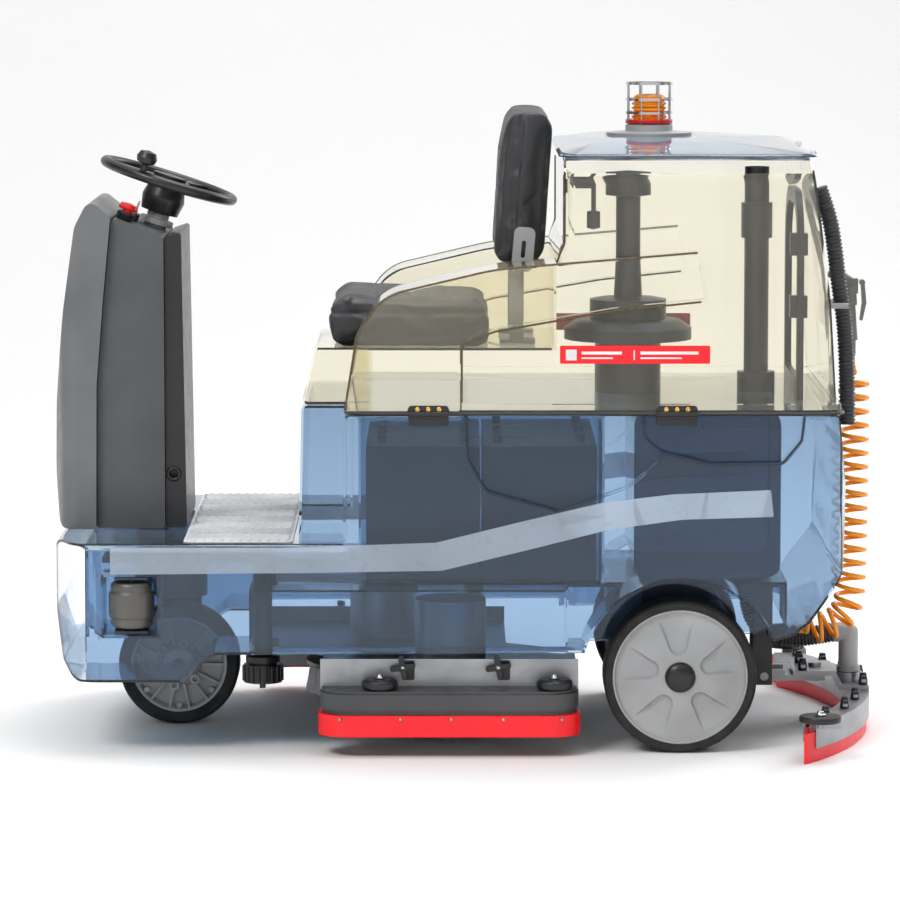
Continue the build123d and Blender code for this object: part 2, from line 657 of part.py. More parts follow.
# ---- recovery tank, with the seat box and the wings beside the seat -----------------------------
seat_box = [(column_front + 8, base_z), (column_front + 36, seat_z), (330.0, seat_z),
            (330.0, base_z)]
seat_link = [(-205.0, base_z), (-205.0, seat_z), (330.0, seat_z), (330.0, base_z)]
link_half = 300.0
wing = [(-248.0, base_z), (-222.0, 870.0), (-168.0, 946.0), (60.0, 1000.0), (475.0, 1034.0),
        (475.0, base_z)]
wing_radii = [6, 70, 110, 500, 6, 6]
band = [(-248.0, base_z), (-222.0, 870.0), (-168.0, 946.0), (60.0, 1000.0), (475.0, 1034.0),
        (492.0, 934.0), (303.0, 915.0), (60.0, 873.0), (-8.0, 848.0), (-8.0, base_z)]
band_radii = [6, 70, 110, 500, 8, 8, 400, 120, 26, 6]
upright = [(tank_front - 9, base_z), (tank_front - 9, 1010.0), (tank_front + 7, 1050.0),
           (tank_front + 7, tank_top), (704.0, tank_top), (716.0, 1142.0), (744.0, 925.0),
           (757.0, 730.0), (757.0, base_z)]
upright_radii = [6, 30, 30, 8, 8, 60, 200, 20, 6]
upright_plan = [(tank_front - 10, -tank_half), (764.0, -tank_half), (764.0, tank_half),
                (tank_front - 10, tank_half)]
flange_t = 18.0
flange_plan = [(house_front + 4, -wing_out), (767.0, -wing_out), (767.0, wing_out),
               (house_front + 4, wing_out)]
mouth_x = (232.0, 690.0)
upright_top_r = 52.0


def upright_part(inset):
    """Form of the tank that stands behind the seat."""
    half = tank_half - inset
    top = [(-tank_half, base_z - 200), (tank_half, base_z - 200), (tank_half, tank_top),
           (-tank_half, tank_top)]
    with BuildPart() as form:
        side_slab(upright, upright_radii, -half, half, inset)
        plan_slab(upright_plan, 42, base_z - 50, tank_top + 50, inset, Mode.INTERSECT)
        section_slab(top, [1, 1, upright_top_r, upright_top_r], 0, hull_rear + 50, inset,
                     Mode.INTERSECT)
    return form.part


def wing_part(inset):
    """Form of both wings beside the seat, with the raised bands on their outer faces."""
    with BuildPart() as form:
        for side in (-1, 1):
            low_y, high_y = sorted((side * (wing_in + inset), side * (tank_half - inset)))
            side_slab(wing, wing_radii, low_y, high_y, inset)
            low_y, high_y = sorted((side * (tank_half - 24), side * (wing_out - inset)))
            side_slab(band, band_radii, low_y, high_y, inset)
    return form.part


def recovery_form(inset):
    """Outer form of the recovery tank, or with an inset the form of its cavity."""
    with BuildPart() as form:
        add(upright_part(inset))
        add(wing_part(inset))
        side_slab(seat_box, 10, inset - column_w + 14, column_w - 14 - inset, inset)
        side_slab(seat_link, 4, inset - link_half, link_half - inset, inset)
    return form.part


with BuildPart() as recovery_tank:
    add(recovery_form(0.0))
    plan_slab(flange_plan, 40, base_z, base_z + flange_t)
    add(recovery_form(wall), mode=Mode.SUBTRACT)
    block((mouth_x[0], -mouth_half, tank_top - 60), (mouth_x[1], mouth_half, tank_top + 10),
          Mode.SUBTRACT)
finish(recovery_tank.part, "recovery_tank")

# ---- seat ------------------------------------------------------------------------------------
cushion = [(-286.0, seat_z + lip), (-292.0, 908.0), (-270.0, 926.0), (52.0, 912.0),
           (60.0, seat_z + lip)]
with BuildPart() as seat_cushion:
    side_slab(cushion, [14, 20, 24, 18, 10], -seat_half, seat_half)
finish(seat_cushion.part, "seat_cushion")

backrest_side = [(60.0, 990.0), (75.0, 1228.0), (96.0, 1318.0), (172.0, 1314.0),
                 (178.0, 1285.0), (160.0, 1020.0), (150.0, 986.0)]
with BuildPart() as backrest:
    side_slab(backrest_side, [14, 200, 16, 14, 20, 100, 14], -seat_half, seat_half)
finish(backrest.part, "backrest")

post_y = 120.0
post_x = (92.0, 122.0)
side_plate_t = 5.0
with BuildPart() as seat_bracket:
    for side in (-1, 1):
        low_y, high_y = sorted((side * (post_y - 20), side * (post_y + 20)))
        block((post_x[0], low_y, seat_z + lip), (post_x[1], high_y, 986.0 - lip))
        block((post_x[0] - 20, low_y - 6, seat_z + lip), (post_x[1] + 24, high_y + 6,
                                                          seat_z + 9))
        rod((107.0, side * post_y, 975.0), (107.0, side * (seat_half + 4), 975.0), 8)
        low_y, high_y = sorted((side * seat_half, side * (seat_half + side_plate_t)))
        with BuildSketch(Plane.XZ.offset(-high_y)) as plate:
            with Locations(Location((120.0, 1026.0), -5)):
                RectangleRounded(44, 92, 14)
                SlotOverall(36, 9, rotation=90, mode=Mode.SUBTRACT)
        extrude(plate.sketch, amount=side_plate_t)
finish(seat_bracket.part, "seat_bracket")

# ---- inside the recovery tank -------------------------------------------------------------------
vac_x = 345.0
floor_z = base_z + wall
with BuildPart() as vacuum_motor:
    spun([(0, floor_z), (70, floor_z), (70, 819), (135, 822), (135, 846), (110, 863), (81, 866),
          (81, 906), (60, 910), (30, 912), (26, 1000), (26, 1123), (48, 1126), (48, 1174),
          (0, 1178)], (vac_x, 0, 0), (0, 0, 1))
finish(vacuum_motor.part, "vacuum_motor")

float_y = -120.0
with BuildPart() as float_switch:
    block((tank_front + 7 + wall, float_y - 14, 1138.0), (tank_front + 24, float_y + 14, 1166.0))
    rod((tank_front + 20, float_y, 1152), (272, float_y, 1152), 6)
    rod((268, float_y, 1156), (268, float_y, 1100), 5)
    spun([(0, 1060), (14, 1064), (14, 1098), (0, 1102)], (268, float_y, 0), (0, 0, 1))
finish(float_switch.part, "float_switch")

pipe_x = 617.0
pipe_r = 26.0
panel_y = 190.0
with BuildPart() as suction_pipe:
    rod((pipe_x, 0, floor_z), (pipe_x, 0, 1186), pipe_r, bore=pipe_r - 4)
    rod((pipe_x, 0, 1036), (pipe_x, 0, 1110), pipe_r + 7, bore=pipe_r - 1)
    rod((pipe_x, 0, floor_z), (pipe_x, 0, 752), pipe_r + 14, bore=pipe_r - 1)
    with BuildSketch(Plane.YZ.offset(690)) as arch:
        with BuildLine():
            FilletPolyline((-panel_y, floor_z), (-panel_y, 1142), (panel_y, 1142),
                           (panel_y, floor_z), radius=[1, 120, 120, 1], close=True)
        make_face()
        with BuildLine():
            FilletPolyline((26 - panel_y, floor_z + 40), (26 - panel_y, 1112),
                           (panel_y - 26, 1112), (panel_y - 26, floor_z + 40),
                           radius=[20, 96, 96, 20], close=True)
        make_face(mode=Mode.SUBTRACT)
    extrude(arch.sketch, amount=14, dir=(1, 0, 0))
    for at_z in (880.0, 1010.0):
        block((676.0, 8 - panel_y, at_z), (712.0, 44 - panel_y, at_z + 46))
finish(suction_pipe.part, "suction_pipe")

# ---- rear fittings on the recovery tank -----------------------------------------------------------
drain_y = -150.0
drain_route = [(737, 1150), (759, 1092), (771, 1020), (780, 945), (792, 870), (797, 790),
               (799, 720), (800, 655)]


def turn_radii(points):
    """Largest bend at each corner of a cord that its two runs allow."""
    radii = []
    for before, at, after in zip(points, points[1:], points[2:]):
        into = Vector(*at) - Vector(*before)
        out = Vector(*after) - Vector(*at)
        turn = radians(into.get_angle(out))
        radii.append(0.45 * min(into.length, out.length) / tan(turn / 2))
    return radii


def cord_tube(points, radius):
    """Sweep a round tube along straight runs joined by tangent arcs."""
    radii = turn_radii(points)
    print("bends:", [round(value) for value in radii])
    with BuildLine() as path:
        FilletPolyline(*points, radius=radii)
    start = Plane(origin=path.line @ 0, z_dir=path.line % 0)
    with BuildSketch(start) as disc:
        Circle(radius)
    sweep(disc.sketch, path=path.line)


with BuildPart() as drain_hose:
    cord_tube([(x, drain_y, z) for x, z in drain_route], drain_r)
finish(drain_hose.part, "drain_hose")

holder_z = 905.0
with BuildPart() as hose_holder:
    block((750.0, drain_y - 46, holder_z - 40), (757.0, coil_y + 40, holder_z + 40))
    rod((755.0, drain_y + drain_r + 12, holder_z), (797.0, drain_y + drain_r + 12, holder_z), 6)
    rod((755.0, drain_y - drain_r - 12, holder_z), (797.0, drain_y - drain_r - 12, holder_z), 6)
    rod((755.0, coil_y + 22, holder_z), (798.0, coil_y + 22, holder_z), 6)
finish(hose_holder.part, "hose_holder")

gun_x = 814.0
with BuildPart() as spray_gun:
    rod((gun_x - 2, coil_y, 795), (gun_x - 2, coil_y, 826), 9)
    rod((gun_x - 2, coil_y, 826), (gun_x - 8, coil_y, 905), 13)
    rod((gun_x - 8, coil_y, 900), (gun_x - 10, coil_y, 940), 17)
    rod((gun_x - 4, coil_y, 946), (gun_x - 34, coil_y, 966), 12)
    rod((gun_x - 34, coil_y, 966), (gun_x - 48, coil_y, 975), 16)
    block((gun_x - 22, coil_y - 12, 925), (gun_x + 10, coil_y + 12, 956))
finish(spray_gun.part, "spray_gun")

trigger_pin = (gun_x + 19, 948.0)
with BuildPart() as gun_trigger:
    rod((trigger_pin[0], coil_y - 10, trigger_pin[1]), (trigger_pin[0], coil_y + 10,
                                                        trigger_pin[1]), 6)
    side_slab([(trigger_pin[0] - 3, 946), (trigger_pin[0] + 5, 946), (gun_x + 28, 905),
               (gun_x + 20, 868), (gun_x + 14, 868), (gun_x + 19, 905)], 2,
              coil_y - 9, coil_y + 9)
finish(gun_trigger.part, "gun_trigger")

# ---- tank lid and beacon ---------------------------------------------------------------------------
lid_z = tank_top + gap
lid_x = (tank_front - 3, 720.0)
lid_half = tank_half - 8
lid_edge = 10.0            # height of its rim
lid_crown = lid_top + 3.8  # flat the beacon stands on
lid_side = [(lid_x[0], lid_z), (lid_x[0] + 6, lid_z + lid_edge), (290.0, lid_crown),
            (486.0, lid_crown), (lid_x[1] - 30, lid_z + lid_edge), (lid_x[1], lid_z)]
lid_plan = [(lid_x[0], -lid_half), (lid_x[1], -lid_half), (lid_x[1], lid_half),
            (lid_x[0], lid_half)]


knuckle_r = 5.0            # hinge knuckles along the lid's rear edge


def lid_form(inset):
    """Form of the shallow lid over the tank's mouth."""
    domed = [(-lid_half, lid_z), (lid_half, lid_z), (lid_half - 6, lid_z + lid_edge - 3),
             (160.0, lid_crown), (-160.0, lid_crown), (6 - lid_half, lid_z + lid_edge - 3)]
    with BuildPart() as form:
        side_slab(lid_side, [1, 5, 90, 90, 8, 1], -lid_half + inset, lid_half - inset, inset)
        plan_slab(lid_plan, 60, lid_z - 20, lid_top + 50, inset, Mode.INTERSECT)
        section_slab(domed, [1, 1, 4, 60, 60, 4], 0, hull_rear + 50, inset, Mode.INTERSECT)
    return form.part


with BuildPart() as tank_lid:
    add(lid_form(0.0))
    add(lid_form(wall / 2), mode=Mode.SUBTRACT)
    for side in (-1, 1):
        rod((lid_x[1] - 1, side * 180.0, lid_z + 2), (lid_x[1] - 1, side * 240.0, lid_z + 2),
            knuckle_r)
finish(tank_lid.part, "tank_lid")

base_top = lid_top + 28
with BuildPart() as beacon_base:
    spun([(0, lid_top + 4), (90, lid_top + 4), (90, lid_top + 9), (beacon_r + 12, lid_top + 12),
          (beacon_r + 12, base_top - 4), (beacon_r + 4, base_top), (0, base_top)],
         (beacon_x, 0, 0), (0, 0, 1))
finish(beacon_base.part, "beacon_base")

lens_top = beacon_top - 26
with BuildPart() as beacon_lens:
    spun([(0, base_top), (beacon_r, base_top), (beacon_r - 3, lens_top - 6), (beacon_r - 10, lens_top),
          (0, lens_top + 2)], (beacon_x, 0, 0), (0, 0, 1))
finish(beacon_lens.part, "beacon_lens")

wire_r = 2.4
cage_r = beacon_r + 9
with BuildPart() as beacon_cage:
    for level in (base_top + 22, base_top + 50, beacon_top - wire_r):
        spun([(cage_r - wire_r, level - wire_r), (cage_r + wire_r, level - wire_r),
              (cage_r + wire_r, level + wire_r), (cage_r - wire_r, level + wire_r)],
             (beacon_x, 0, 0), (0, 0, 1))
    for number in range(8):
        turn = radians(number * 45 + 22.5)
        foot = (beacon_x + cage_r * cos(turn), cage_r * sin(turn))
        rod((*foot, base_top - 1.4), (*foot, beacon_top - wire_r), 1.9)
    with BuildSketch(Plane.XY.offset(beacon_top - 1.4 * wire_r)) as crown:
        with Locations((beacon_x, 0)):
            for turn in (0, 60, 120):
                Rectangle(2 * cage_r, 3.2, rotation=turn)
    extrude(crown.sketch, amount=0.8 * wire_r)
finish(beacon_cage.part, "beacon_cage")

# ---- scrub deck ----------------------------------------------------------------------------------
left_x = (-299.0, 232.0)
right_x = (left_x[0] + brush_x[1] - brush_x[0], left_x[1] + brush_x[1] - brush_x[0])
cover_out = 460.0
plate_t = 8.0
deck_plan = [(left_x[0], -deck_half), (left_x[1], -deck_half), (left_x[1], -40.0),
             (right_x[1], 60.0), (right_x[1], deck_half), (right_x[0], deck_half),
             (right_x[0], 20.0), (left_x[0], -70.0)]
motor_r = 74.0
motor_top = 294.0
rod_x = 20.0               # lift rod
rod_y = 0.0
with BuildPart() as scrub_deck:
    plan_slab(deck_plan, 12, deck_plate_z, deck_plate_z + plate_t)
    for side, span in ((-1, left_x), (1, right_x)):
        low_y, high_y = sorted((side * deck_half, side * (deck_half - 4)))
        block((span[0], low_y, 60.0), (span[1], high_y, 193.0))
        at_x = brush_x[0] if side < 0 else brush_x[1]
        rod((at_x, side * brush_y, deck_plate_z - 2), (at_x, side * brush_y, motor_top), motor_r)
        rod((at_x, side * brush_y, 104.0), (at_x, side * brush_y, deck_plate_z), spindle_r)
        for share in (0.32, 0.69):
            knob_x = span[0] + share * (span[1] - span[0])
            low = (knob_x, side * (deck_half - 2), 178.0)
            rod(low, (knob_x, side * (deck_half + 14), 178.0), 8)
            face = Plane(origin=(knob_x, side * (deck_half + 9), 178.0), x_dir=(1, 0, 0),
                         z_dir=(0, side, 0))
            with BuildSketch(face) as star:
                for turn in (10, 100):
                    SlotOverall(50, 10, rotation=turn)
            extrude(star.sketch, amount=11)
    rod((rod_x, rod_y, deck_plate_z + plate_t - 1), (rod_x, rod_y, 280.0), 9)
finish(scrub_deck.part, "scrub_deck")

with BuildPart() as deck_actuator:
    rod((rod_x, rod_y, 205.0), (rod_x, rod_y, 298.0), 20, bore=9 + run)
    rod((rod_x, rod_y, 297.0), (rod_x, rod_y, tunnel_top - gap), 20)
    rod((rod_x, rod_y - 20, 268), (rod_x, rod_y - 58, 268), 22)
    block((rod_x - 16, rod_y, tunnel_top - 20), (rod_x + 16, rail_y - rail_w / 2,
                                                tunnel_top - gap - 2))
finish(deck_actuator.part, "deck_actuator")


def cover_outline(span, side, grow):
    """D-shaped plan of a side cover, and its corner radii."""
    inner = side * (deck_half + lip)
    outer = side * (cover_out + grow)
    points = [(span[0] - grow, inner), (span[0] - grow, outer), (span[1] + grow, outer),
              (span[1] + grow, inner)]
    return points, [1, 62, 62, 1]


with BuildPart() as deck_covers:
    for side, span in ((-1, left_x), (1, right_x)):
        points, radii = cover_outline(span, side, -4)
        plan_slab(points, radii, cover_z[0] + 2, cover_z[1])
        points, radii = cover_outline(span, side, 0)
        plan_slab(points, radii, cover_z[0] + 10, cover_z[1] - 6)
    for at_x in bumper_x:
        rod((at_x, bumper_y, cover_z[1] - 2), (at_x, bumper_y, bumper_z[1] + 4), bumper_pin_r)
finish(deck_covers.part, "deck_covers")

skirt_w = 9.0
with BuildPart() as deck_skirts:
    for side, span in ((-1, left_x), (1, right_x)):
        points, radii = cover_outline(span, side, 4)
        plan_slab(points, radii, 44.0, cover_z[0])
        points, radii = cover_outline(span, side, 4 - skirt_w)
        cut = [(x, y - side * 30 if abs(y) < cover_out - 30 else y) for x, y in points]
        plan_slab(cut, [1, 56, 56, 1], 30.0, 95.0, mode=Mode.SUBTRACT)
finish(deck_skirts.part, "deck_skirts")

pad_z = (96.0, 122.0)


def scrub_brush(number):
    """Brush: a drive plate with a ring of bristles."""
    centre = (brush_x[number], (-brush_y, brush_y)[number], 0)
    with BuildPart() as piece:
        spun([(spindle_r + run, pad_z[0]), (brush_r - 8, pad_z[0]), (brush_r - 8, pad_z[0] + 12),
              (60, pad_z[1] - 8), (44, pad_z[1] + 10), (spindle_r + run, pad_z[1] + 10)],
             centre, (0, 0, 1))
        spun([(82, bristle_z), (brush_r, bristle_z), (brush_r - 8, pad_z[0]), (88, pad_z[0])],
             centre, (0, 0, 1))
    return piece.part


def deck_roller(at_x):
    """Bumper roller on the deck's left side, with its post and bracket below it."""
    with BuildPart() as piece:
        spun([(bumper_pin_r + run, bumper_z[0]), (bumper_r - 3, bumper_z[0]), (bumper_r, bumper_z[0] + 4),
              (bumper_r, bumper_z[1] - 5), (bumper_r - 6, bumper_z[1]),
              (bumper_pin_r + run, bumper_z[1])],
             (at_x, bumper_y, 0), (0, 0, 1))
    return piece.part


finish(scrub_brush(0), "brush_left")
finish(scrub_brush(1), "brush_right")
finish(deck_roller(bumper_x[0]), "deck_roller_front")
finish(deck_roller(bumper_x[1]), "deck_roller_rear")

# ---- squeegee --------------------------------------------------------------------------------------
sagitta = squeegee_rear - squeegee_tip
arc_r = (squeegee_half ** 2 + sagitta ** 2) / (2 * sagitta)
arc_x = squeegee_rear - arc_r
blade_gap = 34.0           # between the two blades


def arc_strip(outer_r, inner_r, half, low_z, high_z, mode=Mode.ADD):
    """Curved strip about the squeegee's centre of curvature, cut to a half width."""
    far = (outer_r ** 2 - half ** 2) ** 0.5
    near = (inner_r ** 2 - half ** 2) ** 0.5
    with BuildSketch(Plane.XY.offset(low_z)) as strip:
        with BuildLine():
            ThreePointArc((arc_x + far, -half), (arc_x + outer_r, 0), (arc_x + far, half))
            Line((arc_x + far, half), (arc_x + near, half))
            ThreePointArc((arc_x + near, half), (arc_x + inner_r, 0), (arc_x + near, -half))
            Line((arc_x + near, -half), (arc_x + far, -half))
        make_face()
    extrude(strip.sketch, amount=high_z - low_z, dir=(0, 0, 1), mode=mode)


with BuildPart() as squeegee_blades:
    arc_strip(arc_r, arc_r - blade_t, squeegee_half, 0.0, blade_h)
    arc_strip(arc_r - blade_gap, arc_r - blade_gap - blade_t, inner_half, 1.0, blade_h)
finish(squeegee_blades.part, "squeegee_blades")

neck_x = 819.0             # suction neck in the middle of the squeegee
elbow_r = 21.0
elbow_z = 192.0            # height of the elbow's mouth
mouth_x = 786.0
tip_x = 721.0
tip_y = squeegee_half - 26
tip_r = 43.0
tip_z = (83.0, 96.0)
tip_pin_r = 7.0
swing_r = 14.0
yoke_z = (arm_z + 3, arm_z + 13)   # plate that rides on the arm
saddle_z = (78.0, 88.0)            # plate that carries the suction neck
casting_z = (34.0, 76.0)
nut_shares = (-0.78, -0.56, -0.34, 0.34, 0.56, 0.78)


def on_arc(at_y, inward):
    """X of a point of the squeegee at a width, measured in from the rear blade."""
    return arc_x + sqrt((arc_r - inward) ** 2 - at_y ** 2)


def wing_nut(at_x, at_y, foot_z):
    """Two-armed nut on a stud."""
    rod((at_x, at_y, foot_z), (at_x, at_y, foot_z + 24), 5)
    rod((at_x, at_y, foot_z), (at_x, at_y, foot_z + 12), 9)
    block((at_x - 5, at_y - 21, foot_z + 7), (at_x + 5, at_y + 21, foot_z + 19))


with BuildPart() as squeegee:
    arc_strip(arc_r - blade_t - lip, arc_r - blade_gap + lip, inner_half, *casting_z)
    arc_strip(arc_r + 5, arc_r + lip, squeegee_half - 30, 28.0, casting_z[1])
    arc_strip(arc_r + 5, arc_r - blade_gap - blade_t - 4, inner_half,
              casting_z[1] - 3, casting_z[1] + 2)
    arc_strip(arc_r - blade_gap - blade_t - lip, arc_r - blade_gap - blade_t - 5,
              inner_half, 34.0, casting_z[1])
    side_slab([(swing_x - 52, yoke_z[0]), (swing_x - 52, yoke_z[1]), (swing_x + 38, yoke_z[1]),
               (swing_x + 54, saddle_z[1]), (858.0, saddle_z[1]), (858.0, saddle_z[0]),
               (swing_x + 46, saddle_z[0]), (swing_x + 30, yoke_z[0])], 3, -74, 74)
    block((neck_x - 20, -60, casting_z[1]), (neck_x + 30, 60, saddle_z[0] + 2))
    rod((neck_x, 0, saddle_z[0]), (neck_x, 0, saddle_z[1] + 20), elbow_r + 8)
    rod((swing_x, 0, arm_z - 18), (swing_x, 0, yoke_z[1] + 8), swing_r)
    for side in (-1, 1):
        reach = side * tip_y
        low_y, high_y = sorted((reach, reach - side * 34))
        block((tip_x - 9, low_y, casting_z[1] - 8), (tip_x + 44, high_y, tip_z[0] - lip))
        rod((tip_x, reach, casting_z[1] - 6), (tip_x, reach, tip_z[1] + 4), tip_pin_r)
        wing_nut(neck_x + 28, side * 52, saddle_z[1])
        wing_nut(swing_x - 30, side * 52, yoke_z[1])
    for share in nut_shares:
        at_y = share * squeegee_half
        wing_nut(on_arc(at_y, blade_gap / 2 + 2), at_y, casting_z[1])
finish(squeegee.part, "squeegee")

elbow_foot = saddle_z[1] + 21
elbow_route = [(neck_x, 0, elbow_foot), (neck_x, 0, elbow_z - 12), (neck_x - 14, 0, elbow_z),
               (mouth_x, 0, elbow_z)]
with BuildPart() as suction_elbow:
    rod((neck_x, 0, elbow_foot), (neck_x, 0, elbow_z), elbow_r)
    with Locations((neck_x, 0, elbow_z)):
        Sphere(elbow_r)
    rod((neck_x, 0, elbow_z), (mouth_x, 0, elbow_z), elbow_r)
    rod((neck_x, 0, elbow_foot), (neck_x, 0, elbow_foot + 12), elbow_r + 4)
finish(suction_elbow.part, "suction_elbow")

suction_route = [suction_start, (606, 0, 236), (640, 0, 192), (694, 0, 180), (744, 0, 184),
                 (mouth_x - 6, 0, elbow_z)]
with BuildPart() as suction_hose:
    cord_tube(suction_route, suction_r - 2)
finish(suction_hose.part, "suction_hose")


def tip_roller(side):
    """Roller that keeps a squeegee tip off the wall."""
    with BuildPart() as piece:
        spun([(tip_pin_r + run, tip_z[0]), (tip_r - 2, tip_z[0]), (tip_r, tip_z[0] + 2),
              (tip_r, tip_z[1] - 2), (tip_r - 2, tip_z[1]), (tip_pin_r + run, tip_z[1])],
             (tip_x, side * tip_y, 0), (0, 0, 1))
    return piece.part


finish(tip_roller(-1), "squeegee_roller_left")
finish(tip_roller(1), "squeegee_roller_right")

with BuildPart() as squeegee_arm:
    for side in (-1, 1):
        low_y, high_y = sorted((side * (arm_half - 12), side * arm_half))
        block((arm_x - 13, low_y, arm_z - 13), (arm_x + 46, high_y, arm_z + 11))
    block((arm_x + 28, -arm_half, arm_z - 12), (swing_x + 18, arm_half, arm_z))
    rod((swing_x, 0, arm_z - 20), (swing_x, 0, arm_z + 2), swing_r + run, Mode.SUBTRACT)
    rod((arm_x, -lug_y[1] + 1, arm_z), (arm_x, lug_y[1] - 1, arm_z), arm_pin_r)
finish(squeegee_arm.part, "squeegee_arm")

# ---- curly spray hose ---------------------------------------------------------------------------------
coil_x = 818.0
coil_end = 716.0           # X of its last turn
coil_route = [(coil_x, coil_y, 762), (coil_x, coil_y, 300), (coil_x - 14, coil_y, 244),
              (coil_x - 48, coil_y, 218), (coil_end, coil_y, fitting_z)]
with BuildPart() as spray_hose:
    cord_tube(coil_route, coil_r)
    rod((coil_x - 2, coil_y, 761), (coil_x - 2, coil_y, 794.8), lead_r)
    rod((fitting_x, coil_y, fitting_z), (coil_end + 1, coil_y, fitting_z), lead_r)
finish(spray_hose.part, "spray_hose")
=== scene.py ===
"""Looks of the ride-on floor scrubber: clear tanks, seat, hoses, brushes and every finish.

Metres, in the frame of the CAD model: +X to the rear, +Z up, -Y the machine's left side.
"""
import json
import random
from math import cos, pi, radians, sin, sqrt, tan

import bmesh
import bpy
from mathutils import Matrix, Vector


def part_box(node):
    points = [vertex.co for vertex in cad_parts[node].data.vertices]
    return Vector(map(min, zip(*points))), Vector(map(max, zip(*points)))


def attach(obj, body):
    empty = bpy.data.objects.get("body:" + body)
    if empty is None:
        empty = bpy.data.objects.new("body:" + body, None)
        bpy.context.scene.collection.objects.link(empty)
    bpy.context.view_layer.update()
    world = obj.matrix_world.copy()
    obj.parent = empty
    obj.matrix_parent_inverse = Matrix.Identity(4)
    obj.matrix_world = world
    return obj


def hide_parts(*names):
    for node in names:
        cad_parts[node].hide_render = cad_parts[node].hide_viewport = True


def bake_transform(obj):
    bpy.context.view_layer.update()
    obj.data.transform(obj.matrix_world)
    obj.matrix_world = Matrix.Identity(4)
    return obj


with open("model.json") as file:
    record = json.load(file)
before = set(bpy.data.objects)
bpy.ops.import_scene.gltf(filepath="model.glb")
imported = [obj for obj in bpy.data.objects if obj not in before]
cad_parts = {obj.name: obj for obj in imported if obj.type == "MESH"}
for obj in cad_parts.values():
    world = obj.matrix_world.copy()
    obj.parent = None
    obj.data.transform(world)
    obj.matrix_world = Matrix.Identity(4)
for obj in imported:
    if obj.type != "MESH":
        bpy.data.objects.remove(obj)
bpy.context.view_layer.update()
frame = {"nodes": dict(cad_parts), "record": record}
nodes = frame["nodes"]
scene = bpy.context.scene
dice = random.Random(7)

# ---- stage: camera, light and floor ---------------------------------------------------------


def aim(thing, place, target):
    """Put a camera or a lamp somewhere and point it at a target."""
    thing.location = place
    away = Vector(target) - Vector(place)
    thing.rotation_euler = away.to_track_quat("-Z", "Y").to_euler()


camera_place = (-0.032, -10.0, 1.7)
camera_drop = 6.373        # degrees that it looks down
camera_lens = 189.2


def add_camera():
    """Long lens from the machine's left, a little above it."""
    data = bpy.data.cameras.new("camera")
    data.lens = camera_lens
    data.sensor_width = 36.0
    data.clip_end = 100.0
    camera = bpy.data.objects.new("camera", data)
    scene.collection.objects.link(camera)
    camera.location = camera_place
    camera.rotation_euler = (radians(90.0 - camera_drop), 0.0, 0.0)
    scene.camera = camera


def add_lamp(name, place, target, size, power):
    """Soft rectangular studio lamp."""
    data = bpy.data.lights.new(name, "AREA")
    data.shape = "RECTANGLE"
    data.size, data.size_y = size
    data.energy = power
    lamp = bpy.data.objects.new(name, data)
    scene.collection.objects.link(lamp)
    aim(lamp, place, target)


def add_world():
    """White studio with a dark band overhead and dark flags at both ends.

    The band and the flags give clear mouldings their dark edges.
    """
    world = bpy.data.worlds.new("studio")
    scene.world = world
    world.use_nodes = True
    tree = world.node_tree
    tree.nodes.clear()
    where = tree.nodes.new("ShaderNodeTexCoord")
    split = tree.nodes.new("ShaderNodeSeparateXYZ")
    band = tree.nodes.new("ShaderNodeValToRGB")
    side = tree.nodes.new("ShaderNodeMath")
    side.operation = "ABSOLUTE"
    flags = tree.nodes.new("ShaderNodeValToRGB")
    both = tree.nodes.new("ShaderNodeMix")
    both.data_type = "RGBA"
    both.blend_type = "DARKEN"
    both.inputs["Factor"].default_value = 1.0
    back = tree.nodes.new("ShaderNodeBackground")
    out = tree.nodes.new("ShaderNodeOutputWorld")
    tree.links.new(where.outputs["Generated"], split.inputs[0])
    tree.links.new(split.outputs["Z"], band.inputs[0])
    tree.links.new(split.outputs["X"], side.inputs[0])
    tree.links.new(side.outputs[0], flags.inputs[0])
    tree.links.new(band.outputs["Color"], both.inputs["A"])
    tree.links.new(flags.outputs["Color"], both.inputs["B"])
    tree.links.new(both.outputs["Result"], back.inputs["Color"])
    tree.links.new(back.outputs[0], out.inputs[0])
    for ramp, stops in ((band, ((0.0, 1.0), (0.30, 1.0), (0.38, 0.05), (0.56, 0.05), (0.64, 1.0))),
                        (flags, ((0.0, 1.0), (0.76, 1.0), (0.84, 0.04), (0.96, 0.04),
                                 (1.0, 0.8)))):
        elements = ramp.color_ramp.elements
        elements[0].position, elements[0].color = 0.0, (1.0, 1.0, 1.0, 1.0)
        elements[1].position = 1.0
        elements[1].color = (stops[-1][1], stops[-1][1], stops[-1][1], 1.0)
        for place, tone in stops[1:-1] if stops[-1][0] == 1.0 else stops[1:]:
            stop = elements.new(place)
            stop.color = (tone, tone, tone, 1.0)
    back.inputs["Strength"].default_value = 1.0


